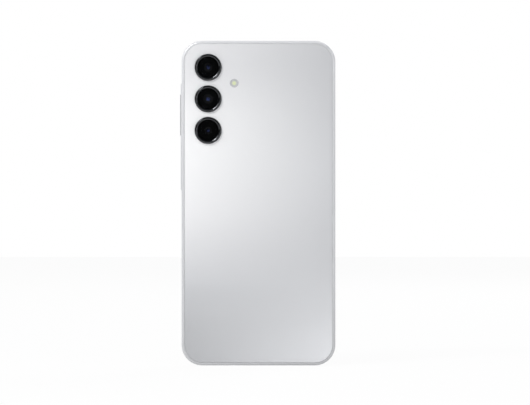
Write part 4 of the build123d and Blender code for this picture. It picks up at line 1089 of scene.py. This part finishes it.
class PHONE_OT_studio(bpy.types.Operator):
    """Make the pale floor, the white surroundings, four soft lamps and the camera"""

    bl_idname = "phone.studio"
    bl_label = "Studio"

    def execute(self, context):
        scene = context.scene
        low, high = CAD_BOX
        centre = (low + high) / 2
        self.floor(low.z)
        self.surroundings(scene)
        lamp("Key lamp", (0.9, 0.85, 1.0), centre, 0.7, 3.9)
        lamp("Strip lamp", (0.7, 0.95, 1.05), centre, 0.45, 7.0, height=0.08, along=(0.83, 0.0, -0.56))
        lamp("Fill lamp", (-0.8, 0.95, 0.12), centre, 0.7, 2.0)
        lamp("Front lamp", (-0.7, -1.2, 0.9), centre, 0.9, 8.0)
        self.camera(scene, low, high)
        scene.view_settings.view_transform = "Standard"
        return {"FINISHED"}

    def floor(self, height):
        """A wide square floor. The camera, gloss and glass see mostly its own white, with a soft shadow."""
        half = 3.0
        corners = [(-half, -half, height), (half, -half, height), (half, half, height), (-half, half, height)]
        mesh = bpy.data.meshes.new("studio_floor")
        mesh.from_pydata(corners, [], [(0, 1, 2, 3)])
        material, tree, shader, place = begin("Matt painted floor", Roughness=0.9)
        grain = add(tree, "ShaderNodeTexNoise", inputs={"Vector": place, "Scale": 40.0})
        tone = tuple(colours().floor)
        tint = add(
            tree,
            "ShaderNodeValToRGB",
            inputs={"Fac": grain.outputs["Fac"]},
            stops=[(0.3, shade(tone, 0.99)), (0.7, tone)],
        )
        tree.links.new(tint.outputs["Color"], shader.inputs["Base Color"])
        white = add(tree, "ShaderNodeEmission", inputs={"Color": (1, 1, 1, 1), "Strength": 1.0})
        path = add(tree, "ShaderNodeLightPath")
        rays = {0: gloss_or_glass(tree, path), 1: path.outputs["Is Camera Ray"]}
        watched = add(tree, "ShaderNodeMath", {"operation": "MAXIMUM"}, rays)
        share = {0: watched.outputs["Value"], 1: 0.94}
        seen = add(tree, "ShaderNodeMath", {"operation": "MULTIPLY"}, share)
        mix = add(tree, "ShaderNodeMixShader", inputs={0: seen.outputs["Value"]})
        tree.links.new(shader.outputs["BSDF"], mix.inputs[1])
        tree.links.new(white.outputs["Emission"], mix.inputs[2])
        output = next(n for n in tree.nodes if n.bl_idname == "ShaderNodeOutputMaterial")
        tree.links.new(mix.outputs["Shader"], output.inputs["Surface"])
        mesh.materials.append(material)
        obj = bpy.data.objects.new("studio_floor", mesh)
        bpy.context.scene.collection.objects.link(obj)

    def surroundings(self, scene):
        """White for the camera. Gloss sees pale walls that grow dark towards +Y, the unlit end."""
        world = bpy.data.worlds.new("Studio surroundings")
        world.use_nodes = True
        scene.world = world
        tree = world.node_tree
        tree.nodes.clear()
        direction = add(tree, "ShaderNodeTexCoord").outputs["Generated"]
        axis = add(tree, "ShaderNodeSeparateXYZ", inputs={"Vector": direction})
        ahead = add(
            tree,
            "ShaderNodeMapRange",
            inputs={"Value": axis.outputs["Y"], "From Min": -1.0, "From Max": 1.0},
        )
        walls = add(
            tree,
            "ShaderNodeValToRGB",
            inputs={"Fac": ahead.outputs["Result"]},
            stops=[
                (0.0, linear("#F7F7F8")),
                (0.5, linear("#EDEEF0")),
                (0.72, linear("#9A9CA0")),
                (0.85, linear("#2E3033")),
                (1.0, linear("#18191B")),
            ],
        )
        gloss = add(tree, "ShaderNodeBackground", inputs={"Color": walls.outputs["Color"], "Strength": 1.0})
        fill = add(tree, "ShaderNodeBackground", inputs={"Color": linear("#FBFCFF"), "Strength": 0.52})
        white = add(tree, "ShaderNodeBackground", inputs={"Color": (1, 1, 1, 1), "Strength": 1.0})
        path = add(tree, "ShaderNodeLightPath")
        lit = add(tree, "ShaderNodeMixShader", inputs={0: gloss_or_glass(tree, path)})
        tree.links.new(fill.outputs["Background"], lit.inputs[1])
        tree.links.new(gloss.outputs["Background"], lit.inputs[2])
        seen = add(tree, "ShaderNodeMixShader", inputs={0: path.outputs["Is Camera Ray"]})
        tree.links.new(lit.outputs["Shader"], seen.inputs[1])
        tree.links.new(white.outputs["Background"], seen.inputs[2])
        add(tree, "ShaderNodeOutputWorld", inputs={"Surface": seen.outputs["Shader"]})

    def camera(self, scene, low, high):
        """A long lens straight behind the phone, with the phone a little left of the middle."""
        distance, width = 1.5, 0.268
        left, up = -0.0033, 0.0003
        data = bpy.data.cameras.new("Camera")
        data.sensor_width = 36.0
        data.lens = data.sensor_width * distance / width
        obj = bpy.data.objects.new("Camera", data)
        obj.location = (left, high.y + distance, (low.z + high.z) / 2 + up)
        obj.rotation_euler = (math.pi / 2, 0.0, math.pi)
        scene.collection.objects.link(obj)
        scene.camera = obj


OPERATORS = (
    PHONE_OT_body,
    PHONE_OT_camera_rings,
    PHONE_OT_camera_glass,
    PHONE_OT_flash,
    PHONE_OT_screen,
    PHONE_OT_openings,
    PHONE_OT_inside,
    PHONE_OT_studio,
)


class PHONE_PT_panel(bpy.types.Panel):
    """Lists the phone's colours, sizes and operators"""

    bl_idname = "PHONE_PT_panel"
    bl_label = "Touchscreen phone"
    bl_space_type = "VIEW_3D"
    bl_region_type = "UI"
    bl_category = "Phone"

    def draw(self, context):
        layout = self.layout
        for group in (context.scene.phone_colours, context.scene.phone_sizes):
            box = layout.box()
            for name in group.__annotations__:
                box.prop(group, name)
        for operator in OPERATORS:
            layout.operator(operator.bl_idname)


CLASSES = (PhoneColours, PhoneSizes, *OPERATORS, PHONE_PT_panel)


def register():
    """Registers the classes and keeps their settings with the scene."""
    for item in CLASSES:
        bpy.utils.register_class(item)
    bpy.types.Scene.phone_colours = PointerProperty(type=PhoneColours)
    bpy.types.Scene.phone_sizes = PointerProperty(type=PhoneSizes)


def unregister():
    """Takes the settings and the classes away again."""
    del bpy.types.Scene.phone_sizes
    del bpy.types.Scene.phone_colours
    for item in reversed(CLASSES):
        bpy.utils.unregister_class(item)


def main():
    """Makes every piece in order."""
    register()
    for operator in OPERATORS:
        group, name = operator.bl_idname.split(".")
        getattr(getattr(bpy.ops, group), name)()
    bare = [name for name, obj in NODES.items() if not obj.material_slots]
    if bare:
        raise RuntimeError(f"these nodes have no finish: {bare}")


if __name__ == "__main__":
    main()
